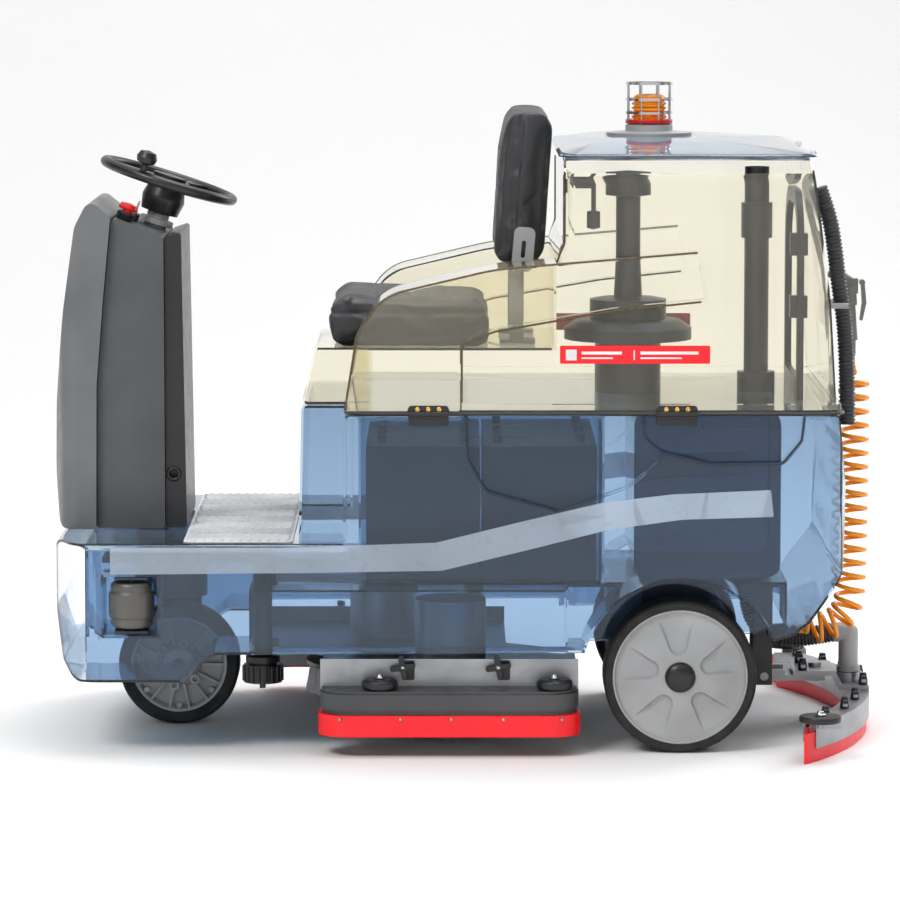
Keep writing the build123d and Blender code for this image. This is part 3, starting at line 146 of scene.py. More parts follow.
def add_floor():
    """Pale floor that runs up into a plain backdrop."""
    mesh = bpy.data.meshes.new("floor")
    half, back, rise = 14.0, 9.0, 9.0
    steps = 12
    rows = [(-14.0, 0.0)]
    rows += [(back - 3 + 3 * sin(pi / 2 * n / steps), 3 - 3 * cos(pi / 2 * n / steps))
             for n in range(steps + 1)]
    rows.append((back, rise))
    verts = [(x, y, z) for y, z in rows for x in (-half, half)]
    faces = [(2 * n, 2 * n + 1, 2 * n + 3, 2 * n + 2) for n in range(len(rows) - 1)]
    mesh.from_pydata(verts, [], faces)
    floor = bpy.data.objects.new("floor", mesh)
    scene.collection.objects.link(floor)
    for face in mesh.polygons:
        face.use_smooth = True
    mat = bpy.data.materials.new("floor_paint")
    mat.use_nodes = True
    shader = mat.node_tree.nodes["Principled BSDF"]
    shader.inputs["Base Color"].default_value = (0.93, 0.93, 0.93, 1.0)
    shader.inputs["Roughness"].default_value = 0.75
    mesh.materials.append(mat)


add_camera()
add_world()
add_lamp("key", (-3.5, -5.0, 6.0), (0.0, 0.0, 0.5), (3.0, 2.0), 260.0)
add_lamp("top", (1.0, 1.0, 6.5), (0.0, 0.0, 0.5), (4.0, 4.0), 220.0)
add_lamp("rim", (4.5, 4.0, 3.5), (0.2, 0.0, 0.7), (1.0, 3.0), 120.0)
add_floor()
scene.view_settings.view_transform = "Standard"
scene.cycles.max_bounces = 40
scene.cycles.transmission_bounces = 40
scene.cycles.transparent_max_bounces = 32
scene.cycles.caustics_reflective = False
scene.cycles.sample_clamp_indirect = 4.0

# ---- materials ------------------------------------------------------------------------------


def new_material(name):
    """Empty Principled material, and its shader."""
    mat = bpy.data.materials.new(name)
    mat.use_nodes = True
    return mat, mat.node_tree.nodes["Principled BSDF"]


def noise(tree, scale, detail=3.0, stretch=None):
    """Noise over the object, optionally stretched along its axes."""
    texture = tree.nodes.new("ShaderNodeTexNoise")
    texture.inputs["Scale"].default_value = scale
    texture.inputs["Detail"].default_value = detail
    where = tree.nodes.new("ShaderNodeTexCoord")
    if stretch:
        turn = tree.nodes.new("ShaderNodeMapping")
        turn.inputs["Scale"].default_value = stretch
        tree.links.new(where.outputs["Object"], turn.inputs["Vector"])
        tree.links.new(turn.outputs["Vector"], texture.inputs["Vector"])
    else:
        tree.links.new(where.outputs["Object"], texture.inputs["Vector"])
    return texture.outputs["Fac"]


def spread(tree, source, low, high):
    """Map a 0.3 to 0.7 signal to a range."""
    node = tree.nodes.new("ShaderNodeMapRange")
    node.inputs["From Min"].default_value = 0.3
    node.inputs["From Max"].default_value = 0.7
    node.inputs["To Min"].default_value = low
    node.inputs["To Max"].default_value = high
    tree.links.new(source, node.inputs["Value"])
    return node.outputs["Result"]


def shade(tree, source, first, second):
    """Colour that runs between two tones with a signal."""
    ramp = tree.nodes.new("ShaderNodeValToRGB")
    ramp.color_ramp.elements[0].position = 0.3
    ramp.color_ramp.elements[0].color = (*first, 1.0)
    ramp.color_ramp.elements[1].position = 0.7
    ramp.color_ramp.elements[1].color = (*second, 1.0)
    tree.links.new(source, ramp.inputs["Fac"])
    return ramp.outputs["Color"]


def bump(tree, shader, source, strength, distance):
    """Raise the surface with a signal."""
    node = tree.nodes.new("ShaderNodeBump")
    node.inputs["Strength"].default_value = strength
    node.inputs["Distance"].default_value = distance
    tree.links.new(source, node.inputs["Height"])
    tree.links.new(node.outputs["Normal"], shader.inputs["Normal"])


def moulded(name, color, rough=0.45, grain=900.0, depth=0.00015, vary=0.18, metal=0.0,
            worn=None):
    """Moulded or painted surface: fine grain, slight tone changes and handling marks."""
    mat, shader = new_material(name)
    tree = mat.node_tree
    broad = noise(tree, 6.0, 4.0)
    dark = tuple(c * (1 - vary) for c in color)
    light = worn or tuple(min(1.0, c * (1 + vary)) for c in color)
    tree.links.new(shade(tree, broad, dark, light), shader.inputs["Base Color"])
    fine = noise(tree, grain, 2.0)
    marks = noise(tree, 38.0, 6.0)
    tree.links.new(spread(tree, marks, rough * 0.85, min(1.0, rough * 1.2)),
                   shader.inputs["Roughness"])
    bump(tree, shader, fine, 0.3, depth)
    shader.inputs["Metallic"].default_value = metal
    return mat


def clear(name, color, rough=0.0, ior=1.33, through=1.0):
    """Clear tinted moulding."""
    mat, shader = new_material(name)
    tree = mat.node_tree
    shader.inputs["Base Color"].default_value = (*color, 1.0)
    shader.inputs["Roughness"].default_value = rough
    shader.inputs["IOR"].default_value = ior
    shader.inputs["Transmission Weight"].default_value = through
    bump(tree, shader, noise(tree, 5.0, 1.0), 0.08, 0.004)
    return mat


finish = {
    "frame_steel": moulded("frame_steel", (0.035, 0.036, 0.04), 0.4, 500.0, vary=0.3),
    "clear_blue": clear("clear_blue", (0.50, 0.62, 0.75), through=0.97),
    "clear_amber": clear("clear_amber", (0.985, 0.96, 0.86), through=0.96),
    "lid_blue": clear("lid_blue", (0.70, 0.79, 0.90), through=0.95),
    "mat_grey": moulded("mat_grey", (0.62, 0.64, 0.66), 0.6),
    "console_grey": moulded("console_grey", (0.13, 0.135, 0.14), 0.42, 700.0),
    "graphite": moulded("graphite", (0.07, 0.073, 0.078), 0.5, 700.0),
    "black_plastic": moulded("black_plastic", (0.012, 0.012, 0.014), 0.35),
    "light_grey": moulded("light_grey", (0.36, 0.37, 0.38), 0.4),
    "stop_red": moulded("stop_red", (0.62, 0.01, 0.012), 0.25, vary=0.1),
    "battery_black": moulded("battery_black", (0.10, 0.115, 0.14), 0.45),
    "cast_alu": moulded("cast_alu", (0.36, 0.37, 0.385), 0.38, 420.0, 0.0004, metal=0.85),
    "rim_grey": moulded("rim_grey", (0.34, 0.345, 0.35), 0.42, 800.0),
    "tyre_black": moulded("tyre_black", (0.012, 0.012, 0.012), 0.75, 500.0, 0.0004, vary=0.35),
    "roller_bronze": moulded("roller_bronze", (0.10, 0.095, 0.085), 0.3, metal=0.3),
    "seat_black": moulded("seat_black", (0.022, 0.023, 0.026), 0.5, 620.0, 0.0005),
    "hose_grey": moulded("hose_grey", (0.045, 0.046, 0.05), 0.45),
    "orange_hose": moulded("orange_hose", (1.0, 0.33, 0.004), 0.22, vary=0.06),
    "gun_grey": moulded("gun_grey", (0.16, 0.155, 0.14), 0.3),
    "pale_stripe": moulded("pale_stripe", (0.50, 0.58, 0.68), 0.3, vary=0.06),
    "beacon_orange": clear("beacon_orange", (1.0, 0.33, 0.02), 0.08),
    "wire_steel": moulded("wire_steel", (0.55, 0.55, 0.56), 0.2, metal=1.0),
    "deck_grey": moulded("deck_grey", (0.055, 0.057, 0.06), 0.4, 500.0),
    "skirt_red": moulded("skirt_red", (0.95, 0.004, 0.012), 0.36, vary=0.06),
    "bristle_white": moulded("bristle_white", (0.8, 0.8, 0.8), 0.5),
    "zinc": moulded("zinc", (0.45, 0.44, 0.4), 0.3, metal=1.0),
    # painted shade: these two dark colours stand in for the dark look of the clear tanks where their
    # surfaces turn edge-on
    "amber_edge_shade": moulded("amber_edge_shade", (0.10, 0.062, 0.02), 0.25),
    "blue_edge_shade": moulded("blue_edge_shade", (0.012, 0.022, 0.045), 0.2),
    "navy": clear("navy", (0.05, 0.09, 0.16), 0.05, through=0.7),
    "brass": moulded("brass", (0.75, 0.45, 0.12), 0.25, metal=1.0),
}
shader = finish["pale_stripe"].node_tree.nodes["Principled BSDF"]
shader.inputs["Alpha"].default_value = 0.5
slots = {entry["node"]: entry["material_slot"] for entry in frame["record"]["subparts"]}


def dress_node(name, bevel=0.0015):
    """Give a CAD node its material, soft edges and smooth shading."""
    thing = nodes[name]
    thing.data.materials.clear()
    thing.data.materials.append(finish[slots[name]])
    weld = thing.modifiers.new("weld", "WELD")
    weld.merge_threshold = 0.00002
    if bevel:
        edges = thing.modifiers.new("bevel", "BEVEL")
        edges.width = bevel
        edges.segments = 2
        edges.limit_method = "ANGLE"
        edges.angle_limit = radians(35.0)
        edges.harden_normals = False
    for face in thing.data.polygons:
        face.use_smooth = True
    normals = thing.modifiers.new("normals", "WEIGHTED_NORMAL")
    normals.keep_sharp = True


for name in nodes:
    dress_node(name)


# ---- shape helpers --------------------------------------------------------------------------


class Form:
    """Mesh built up from simple closed shapes, in millimetres."""

    def __init__(self):
        self.verts = []
        self.faces = []

    def take(self, verts, faces):
        """Add a list of corners and of faces."""
        base = len(self.verts)
        self.verts += [Vector(v) for v in verts]
        self.faces += [[base + i for i in face] for face in faces]

    def rings(self, rings, closed=False, capped=True):
        """Skin a run of equal rings."""
        count = len(rings[0])
        base = len(self.verts)
        self.verts += [Vector(v) for ring in rings for v in ring]
        last = len(rings) if closed else len(rings) - 1
        for a in range(last):
            b = (a + 1) % len(rings)
            for i in range(count):
                j = (i + 1) % count
                self.faces.append([base + a * count + i, base + a * count + j,
                                   base + b * count + j, base + b * count + i])
        if capped and not closed:
            self.faces.append([base + i for i in reversed(range(count))])
            self.faces.append([base + (len(rings) - 1) * count + i for i in range(count)])

    def lathe(self, profile, centre, axis=(0, 0, 1), steps=48, sink=None):
        """Turn a profile of radius and height; sink lowers its points by radius and angle."""
        across, up, along = basis(axis)
        centre = Vector(centre)
        rings = []
        for row, (radius, height) in enumerate(profile):
            ring = []
            for n in range(steps):
                turn = 2 * pi * n / steps
                drop = sink(row, radius, turn) if sink else 0.0
                ring.append(centre + along * (height - drop)
                            + (across * cos(turn) + up * sin(turn)) * max(radius, 0.01))
            rings.append(ring)
        self.rings(rings)

    def tube(self, path, radius, sides=12, closed=False):
        """Round bar along points; radius is a number or a list."""
        path = [Vector(p) for p in path]
        rings = []
        up = None
        for n, at in enumerate(path):
            if closed:
                before, after = path[n - 1], path[(n + 1) % len(path)]
            else:
                before, after = path[max(n - 1, 0)], path[min(n + 1, len(path) - 1)]
            along = (after - before).normalized()
            if up is None:
                up = basis(along)[0]
            up = (up - along * up.dot(along)).normalized()
            side = along.cross(up)
            size = radius[n] if isinstance(radius, list) else radius
            rings.append([at + (up * cos(2 * pi * k / sides) + side * sin(2 * pi * k / sides))
                          * size for k in range(sides)])
        self.rings(rings, closed=closed)

    def slab(self, outline, low, high, plane="xy"):
        """Extrude an outline between two levels along the axis its plane leaves out."""
        def put(a, b, level):
            return {"xy": (a, b, level), "xz": (a, level, b), "yz": (level, a, b)}[plane]
        self.rings([[Vector(put(a, b, low)) for a, b in outline],
                    [Vector(put(a, b, high)) for a, b in outline]])

    def place(self, name, finish_name, body, *stands_for, bevel=0.0, smooth=40.0):
        """Make the piece, ride it on its body and give it its finish."""
        mesh = bpy.data.meshes.new(name)
        mesh.from_pydata([v * 0.001 for v in self.verts], [], self.faces)
        work = bmesh.new()
        work.from_mesh(mesh)
        bmesh.ops.recalc_face_normals(work, faces=work.faces)
        work.to_mesh(mesh)
        work.free()
        thing = bpy.data.objects.new(name, mesh)
        scene.collection.objects.link(thing)
        mesh.materials.append(finish[finish_name])
        soften(thing, bevel, smooth)
        if body:
            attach(thing, body)
        if stands_for:
            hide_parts(*stands_for)
        return thing


def basis(axis):
    """Two directions across an axis, and the axis."""
    along = Vector(axis).normalized()
    guide = Vector((0, 0, 1)) if abs(along.z) < 0.9 else Vector((1, 0, 0))
    across = guide.cross(along).normalized()
    return across, along.cross(across), along


def soften(thing, bevel, smooth=40.0):
    """Soft edges and smooth shading."""
    for face in thing.data.polygons:
        face.use_smooth = True
    if bevel:
        edges = thing.modifiers.new("bevel", "BEVEL")
        edges.width = bevel * 0.001
        edges.segments = 2
        edges.limit_method = "ANGLE"
        edges.angle_limit = radians(smooth)
    thing.modifiers.new("normals", "WEIGHTED_NORMAL").keep_sharp = True


def smooth_route(points, resolution=24):
    """Points along the smooth line that a few control points give."""
    curve = bpy.data.curves.new("route", "CURVE")
    curve.dimensions = "3D"
    curve.resolution_u = resolution
    spline = curve.splines.new("NURBS")
    spline.points.add(len(points) - 1)
    for knot, at in zip(spline.points, points):
        knot.co = (*at, 1.0)
    spline.order_u = 3
    spline.use_endpoint_u = True
    thing = bpy.data.objects.new("route", curve)
    mesh = bpy.data.meshes.new_from_object(thing)
    line = [v.co.copy() for v in mesh.vertices]
    bpy.data.meshes.remove(mesh)
    bpy.data.objects.remove(thing)
    bpy.data.curves.remove(curve)
    return line


def walk(line, step):
    """Even steps along a line: place and direction, each."""
    lengths = [0.0]
    for a, b in zip(line, line[1:]):
        lengths.append(lengths[-1] + (b - a).length)
    count = max(2, round(lengths[-1] / step))
    steps = []
    at = 0
    for n in range(count + 1):
        want = lengths[-1] * n / count
        while at < len(lengths) - 2 and lengths[at + 1] < want:
            at += 1
        share = (want - lengths[at]) / max(lengths[at + 1] - lengths[at], 1e-9)
        steps.append((line[at].lerp(line[at + 1], share), (line[at + 1] - line[at]).normalized()))
    return steps, lengths[-1]


def ease(value, low, high):
    """Smooth step from 0 at low to 1 at high."""
    share = min(1.0, max(0.0, (value - low) / (high - low)))
    return share * share * (3 - 2 * share)


def rounded(corners, radius, steps=6):
    """Outline with rounded corners."""
    outline = []
    count = len(corners)
    for n in range(count):
        before, at, after = (Vector(corners[(n + k) % count]) for k in (-1, 0, 1))
        into, out = (at - before).normalized(), (after - at).normalized()
        reach = min(radius, (at - before).length / 2, (after - at).length / 2)
        start, end = at - into * reach, at + out * reach
        for k in range(steps + 1):
            t = k / steps
            outline.append(tuple(start * (1 - t) ** 2 + at * 2 * t * (1 - t) + end * t * t))
    return outline


# ---- painted shade: dark lines along the edges of the clear tanks ---------------------------


def edge_line(corners, radii, level, step=8):
    """Open line at one width, its corners rounded to the radii."""
    corners = [Vector((x, level, z)) for x, z in corners]
    line = [corners[0]]
    for before, at, after, radius in zip(corners, corners[1:], corners[2:], radii):
        into, out = at - before, after - at
        reach = radius * tan(into.angle(out) / 2)
        start, end = at - into.normalized() * reach, at + out.normalized() * reach
        for k in range(step + 1):
            t = k / step
            line.append(start * (1 - t) ** 2 + at * 2 * t * (1 - t) + end * t * t)
    line.append(corners[-1])
    return line


def edge_shade_lines(name, lines, finish_name, body):
    """Thin dark rolls along the edges of a clear moulding, on both sides of the machine, as painted
    shade for clear plastic seen edge-on.
    """
    form = Form()
    for corners, radii, level, size in lines:
        for side in (-1, 1):
            form.tube(edge_line(corners, radii, side * level), size, sides=8)
    return form.place(name, finish_name, body)


# painted shade: the dark lines below paint the shade that the clear wing and upright show where they
# turn edge-on
wing_top = [(-246, 712), (-221, 869), (-168, 945), (60, 999), (470, 1033)]
band_low = [(-8, 728), (-8, 848), (60, 873), (303, 915), (478, 933)]
edge_shade_lines("wing_edge_shade", [(wing_top, (70, 110, 500), 426.5, 2.2),
                          (band_low, (26, 120, 400), 427.0, 2.2)], "amber_edge_shade", "recovery")
edge_shade_lines("upright_edge_shade", [([(186, 1012), (199, 1050), (199, 1190)], (30,), 402.0, 1.8)],
           "amber_edge_shade", "recovery")
hull_y = 430.0 - 1.0
grip = [(362, 700), (367, 652), (400, 626), (502, 601), (645, 603), (684, 650), (690, 700)]
swoosh = [(2, 700), (4, 612), (42, 545), (186, 505)]
# painted shade: dark lines along the grip recess and swoosh of the clear hull, where its surface
# turns edge-on
edge_shade_lines("hull_edge_shade", [(grip, (20, 20, 30, 20, 20), hull_y, 2.4), (swoosh, (20, 30), hull_y, 2.0)],
           "blue_edge_shade", "chassis")

# ---- navy baffle inside the rear of the hull ------------------------------------------------
baffle = Form()
baffle.slab(rounded([(350, 345), (655, 345), (655, 690), (350, 690)], 30), -258, 258, plane="xz")
baffle.place("rear_baffle", "navy", "chassis", bevel=6.0)

# ---- curly spray hose -----------------------------------------------------------------------
coil_line = smooth_route([(818, -92, 762), (818, -92, 300), (804, -92, 244), (770, -92, 218),
                          (716, -92, 208)])
coil_mean = 28.6           # radius of the coil's centreline
hose_r = 5.0
turns = 21
coil_step = 0.85           # spacing of the points along the coil's middle line
coil_steps = walk(coil_line, coil_step)[0]
coil_path = [Vector((815, -92, 794.5)), Vector((815, -92, 786)), Vector((815.5, -92, 776))]
for number, (at, along) in enumerate(coil_steps):
    share = number / (len(coil_steps) - 1)
    across = Vector((0, 1, 0))
    up = across.cross(along)
    turn = 2 * pi * turns * share - pi / 2
    swell = min(ease(share, 0.0, 0.03), ease(1 - share, 0.0, 0.03))
    coil_path.append(at + (across * cos(turn) + up * sin(turn)) * coil_mean * swell)
coil_path += [Vector((710, -92, 208)), Vector((705, -92, 208)), Vector((699, -92, 208))]
coil = Form()
coil.tube(coil_path, hose_r, sides=10)
coil = coil.place("spray_coil", "orange_hose", None, "spray_hose")
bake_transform(coil)

# ---- corrugated hoses -----------------------------------------------------------------------


def bellows(name, route, radius, pitch, depth, finish_name, body, *stands_for):
    """Corrugated hose along a route."""
    per_ridge = 8
    steps, length = walk(smooth_route(route), pitch / per_ridge)
    path = [at for at, along in steps]
    radii = []
    for n in range(len(path)):
        wave = 0.5 - 0.5 * cos(2 * pi * n / per_ridge)
        radii.append(radius - depth * (1 - wave ** 0.6))
    form = Form()
    form.tube(path, radii, sides=28)
    return form.place(name, finish_name, body, *stands_for)


suction = bellows("suction_bellows", [(604, 0, 290), (606, 0, 236), (640, 0, 192), (694, 0, 180),
                                      (744, 0, 184), (786, 0, 192)], 21.5, 7.0, 3.0,
                  "hose_grey", None, "suction_hose")
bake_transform(suction)
bellows("drain_bellows", [(737, -150, 1150), (759, -150, 1092), (771, -150, 1020),
                          (780, -150, 945), (792, -150, 870), (797, -150, 790),
                          (799, -150, 720), (800, -150, 655)], 17.5, 8.0, 3.2,
        "hose_grey", "recovery", "drain_hose")

# ---- rear wheels: scalloped covers with a domed hub cap -------------------------------------
rear_x, rear_z = 441.0, 157.5
scallops = [radians(-94 + 72 * n) for n in range(5)]
cover_rows = [(20.1, 304), (50, 304), (54, 340), (116, 350), (126, 306), (139.4, 303),
              (139.4, 395.5), (138.4, 397.6), (136.0, 398.0), (134.2, 396.6), (133.2, 391.5)]
face_r = 131.5             # outside of the cover's dished face
face_radii = [face_r - 2.2 * n for n in range(46)]
cover_rows += [(r, 390.0 + 8.5 * ease(face_r - r, 0, 78)) for r in face_radii]
cover_rows += [(31.2, 398.6), (30.8, 396.0), (20.1, 396.0)]
first_face = 11


def scallop_depth(row, radius, turn):
    """How deep the five hollows cut into a wheel cover."""
    if row < first_face or radius < 42:
        return 0.0
    deepest = 0.0
    for axis in scallops:
        # angles run the other way round seen from outside the wheel
        off = (-turn - axis + pi) % (2 * pi) - pi
        ahead, aside = radius * cos(off), radius * sin(off)
        if ahead <= 0:
            continue
        if ahead < 66:
            inside = 20.0 - sqrt((ahead - 66) ** 2 + aside ** 2)
        else:
            inside = 20.0 + (ahead - 66) * 0.33 - abs(aside)
        fade = 1 - ease(radius, 84, 126)
        deepest = max(deepest, ease(inside, 0.0, 3.2) * (1.4 + 6.5 * fade) * (
            1 - ease(radius, 116, 128)))
    return deepest


for hand, side in (("left", -1), ("right", 1)):
    wheel_body = f"rear_wheel_{hand}"
    axis = (0, side, 0)
    cover = Form()
    cover.lathe(cover_rows, (rear_x, 0, rear_z), axis, steps=360,
                sink=scallop_depth)
    cover.place(f"{wheel_body}_cover", "rim_grey", wheel_body, f"{wheel_body}_rim")
    cap = Form()
    cap.lathe([(12, 394), (30.4, 394), (30.4, 400.5), (29.2, 403.6), (24, 407.6), (16, 410.6),
               (8, 411.9), (0, 412.2)], (rear_x, 0, rear_z), axis, steps=64)
    cap.place(f"{wheel_body}_cap", "black_plastic", wheel_body)

# ---- drive wheel: ribbed rim with bolt bosses -----------------------------------------------
front_x, front_z = -609.0, 128.0
rim = Form()
rim.lathe([(14.1, -42), (34, -42), (40, -36), (46, -30), (50, -24), (90, -22), (96, -37),
           (101.9, -39.5), (101.9, 36.5), (94, 36.5), (88, 20), (14.1, 24)],
          (front_x, 0, front_z), (0, 1, 0), steps=96)
rim.place("front_wheel_disc", "rim_grey", "front_wheel", "front_wheel_rim", bevel=0.8)
ribs = Form()
for number in range(14):
    turn = 2 * pi * number / 14
    ray = Vector((cos(turn), 0, sin(turn)))
    across = Vector((-sin(turn), 0, cos(turn)))
    centre = Vector((front_x, 0, front_z))
    corners = []
    for radius, half, deep in ((44, 3.2, -36), (96, 2.2, -37.5)):
        corners.append([centre + ray * radius + across * half * s + Vector((0, y, 0))
                        for s, y in ((-1, deep), (1, deep), (1, -20), (-1, -20))])
    ribs.rings(corners)
    if number % 2 == 0:
        spot = centre + (ray * cos(0.22) + across * sin(0.22)) * 88
        ribs.lathe([(2.5, -20), (6, -20), (6, -37), (2.5, -37)], (spot.x, 0, spot.z), (0, 1, 0),
                   steps=20)
for number in range(6):
    turn = 2 * pi * number / 6 + 0.3
    ribs.lathe([(5, -30), (11, -30), (11, -42.5), (9.5, -43.5), (5, -43.5), (5, -33)],
               (front_x + 46 * cos(turn), 0, front_z + 46 * sin(turn)), (0, 1, 0), steps=24)
ribs.place("front_wheel_ribs", "rim_grey", "front_wheel", bevel=0.5)

# ---- foot deck: herringbone mat -------------------------------------------------------------
mat_low, mat_high = (-578.0, -408.0), (-354.0, 408.0)
mat = Form()
mat.slab(rounded([(mat_low[0], mat_low[1]), (mat_high[0], mat_low[1]), (mat_high[0], mat_high[1]),
                  (mat_low[0], mat_high[1])], 14), 437.2, 440.0)
columns = 8
column_w = (mat_high[1] - mat_low[1] - 12) / columns
slope = 0.72
pitch = 19.0
for column in range(columns):
    near = mat_low[1] + 6 + column * column_w + 3
    far = near + column_w - 6
    lean = slope if column % 2 else -slope
    shift = lean * (far - near) / 2
    at_x = mat_low[0] - 30
    while at_x < mat_high[0] + 30:
        ends = []
        for share in (0.0, 1.0):
            ends.append((at_x + shift * (2 * share - 1), near + (far - near) * share))
        # keep the part of the rib that lies on the plate
        low_x, high_x = mat_low[0] + 8, mat_high[0] - 8
        (x0, y0), (x1, y1) = ends
        if x0 > x1:
            x0, y0, x1, y1 = x1, y1, x0, y0
        t0 = max(0.0, (low_x - x0) / (x1 - x0))
        t1 = min(1.0, (high_x - x0) / (x1 - x0))
        if t1 - t0 > 0.12:
            a = Vector((x0 + (x1 - x0) * t0, y0 + (y1 - y0) * t0, 439.6))
            b = Vector((x0 + (x1 - x0) * t1, y0 + (y1 - y0) * t1, 439.6))
            across = (b - a).normalized().cross(Vector((0, 0, 1)))
            foot, top, rise = across * 4.6, across * 3.2, Vector((0, 0, 3.2))
            mat.rings([[at - foot, at + foot, at + top + rise, at - top + rise]
                       for at in (a, b)])
        at_x += pitch
mat.place("foot_mat", "mat_grey", "chassis", "footplate_mat", bevel=0.5)

# ---- beacon ---------------------------------------------------------------------------------
lens_rows = [(0, 1278.2), (37.5, 1278.2), (37.5, 1285)]
for number in range(5):
    base = 1286 + number * 9.2
    lens_rows += [(33.2 - number * 0.3, base + 0.6), (33.4 - number * 0.3, base + 2.0),
                  (37.2 - number * 0.3, base + 4.0), (37.2 - number * 0.3, base + 6.6),
                  (33.4 - number * 0.3, base + 8.6)]
lens_rows += [(33.0, 1332.6), (30.0, 1336.4), (22.0, 1339.0), (0, 1339.8)]
lens = Form()
lens.lathe(lens_rows, (388, 0, 0), steps=72)
lens.place("beacon_glass", "beacon_orange", "lid", "beacon_lens")
collar = Form()
collar.lathe([(38.2, 1277.6), (49.6, 1277.6), (49.6, 1284.6), (48.2, 1286), (39.5, 1286),
              (38.2, 1284.6)], (388, 0, 0), steps=72)
collar.place("beacon_collar", "stop_red", "lid")

# ---- seams, hinges and the red band ---------------------------------------------------------
gasket = Form()
gasket_line = [(x, y, 704.0) for x, y in rounded(
    [(-246, -424), (772, -424), (772, 424), (-246, 424)], 52, 10)]
gasket.tube(gasket_line, 3.4, sides=10, closed=True)
gasket.place("seam_gasket", "black_plastic", "chassis")

leaves = Form()
heads = Form()
for hinge_x in (-76.0, 430.0):
    outline = rounded([(hinge_x - 44, 706), (hinge_x + 44, 706), (hinge_x + 40, 722),
                       (hinge_x - 40, 722)], 7)
    leaves.slab(outline, -433.4, -428.2, plane="xz")
    for shift in (-22, 0, 22):
        heads.lathe([(5.4, 428.6), (5.4, 435.2), (4.4, 436.6), (2.4, 436.9), (2.4, 435.4),
                     (0, 435.4)], (hinge_x + shift, 0, 714.5), (0, -1, 0), steps=20)
leaves.place("hinge_leaves", "black_plastic", "recovery", bevel=1.0)
heads.place("hinge_screws", "brass", "recovery")

for hand, side in (("left", -1), ("right", 1)):
    film = Form()
    near, far = sorted((side * 404.15, side * 404.7))
    film.slab(rounded([(192, 805), (498, 805), (498, 842), (192, 842)], 3), near, far,
              plane="xz")
    film.place(f"red_band_{hand}", "skirt_red", "recovery")
    marks = Form()
    near, far = sorted((side * 404.72, side * 405.0))
    for low_x, high_x, low_z, high_z in ((204, 226, 812, 834), (236, 318, 824, 830),
                                         (236, 300, 815, 818), (342, 344.5, 813, 833),
                                         (356, 474, 824, 830), (356, 440, 815, 818)):
        marks.slab([(low_x, low_z), (high_x, low_z), (high_x, high_z), (low_x, high_z)],
                   near, far, plane="xz")
    marks.place(f"band_bars_{hand}", "bristle_white", "recovery")

# ---- brushes --------------------------------------------------------------------------------
for hand, centre_x, centre_y in (("left", -31.0, -194.0), ("right", -175.0, 194.0)):
    name = f"brush_{hand}"
    plate = Form()
    plate.lathe([(16.1, 96), (167, 96), (170, 98), (170, 106), (166, 108.5), (60, 114), (46, 131),
                 (16.1, 131.6)], (centre_x, centre_y, 0), steps=96)
    plate.place(f"{name}_plate", "black_plastic", name, name, bevel=0.8)
    tufts = Form()
    for radius in (94.0, 108.0, 122.0, 136.0, 149.0, 160.0):
        count = round(2 * pi * radius / 9.5)
        for number in range(count):
            turn = 2 * pi * (number + dice.uniform(-0.2, 0.2)) / count
            ray = Vector((cos(turn), sin(turn), 0))
            flare = (radius - 120) * 0.16 + dice.uniform(-1.5, 1.5)
            foot = Vector((centre_x, centre_y, 97)) + ray * radius
            tip = foot + ray * flare + Vector((dice.uniform(-2, 2), dice.uniform(-2, 2),
                                               -58.6 - dice.uniform(-1.2, 0.4)))
            middle = foot.lerp(tip, 0.55) - ray * flare * 0.12
            tufts.tube([foot, middle, tip], [2.2, 3.2, 4.3], sides=6)
    tufts.place(f"{name}_bristles", "bristle_white", name)

# ---- knobs, bolts and screws on the scrub deck ----------------------------------------------
knobs = Form()
bolts = Form()
screws = Form()
for side, low_x, high_x in ((-1, -299.0, 232.0), (1, -443.0, 88.0)):
    for share in (0.32, 0.69):
        knob_x = low_x + share * (high_x - low_x)
        outline = []
        for arm in range(4):
            turn = radians(10 + 90 * arm)
            for off, reach in ((-0.62, 10.5), (-0.27, 21.0), (-0.19, 25.4), (0.0, 26.6),
                               (0.19, 25.4), (0.27, 21.0), (0.62, 10.5)):
                outline.append((knob_x + reach * cos(turn + off),
                                178.0 + reach * sin(turn + off)))
        near, far = sorted((side * 388.4, side * 401.2))
        knobs.slab(outline, near, far, plane="xz")
        bolts.lathe([(4.5, 400.8), (4.5, 404.4), (3.2, 405.6), (0, 405.8)], (knob_x, 0, 178.0),
                    (0, side, 0), steps=20)
        near, far = sorted((side * 380.2, side * 386.0))
        knobs.slab(rounded([(knob_x + 2, 150), (knob_x + 24, 150), (knob_x + 24, 190),
                            (knob_x + 2, 190)], 4), near, far, plane="xz")
    shift = low_x + 299.0
    for at_x, at_y, lean in ((-257, 463.9, -0.26), (-133, 464, 0), (-29, 464, 0), (77, 464, 0),
                             (196, 461.6, 0.36)):
        axis = Vector((sin(lean), side * cos(lean), 0))
        foot = Vector((at_x + shift, side * at_y, 81.0)) - axis * 1.5
        screws.lathe([(3.6, 0), (3.6, 3.0), (2.6, 4.0), (0, 4.2)], foot, axis, steps=16)
knobs.place("deck_knobs", "black_plastic", "deck", bevel=1.2)
bolts.place("deck_bolts", "wire_steel", "deck")
screws.place("skirt_screws", "zinc", "deck")

for name, body, at_x, at_y, at_z in (
        ("bumper_bolt_front", "deck", -176, -424, 161), ("bumper_bolt_rear", "deck", 182, -424, 161),
        ("tip_bolt_left", "squeegee", 721, -504, 98), ("tip_bolt_right", "squeegee", 721, 504, 98)):
    bolt = Form()
    bolt.lathe([(11, at_z - 0.6), (11, at_z + 1.4), (7.4, at_z + 1.6), (7.4, at_z + 5.6),
                (6.2, at_z + 7.4), (3.0, at_z + 7.8), (0, at_z + 7.8)], (at_x, at_y, 0), steps=32)
    bolt.place(name, "wire_steel", body)

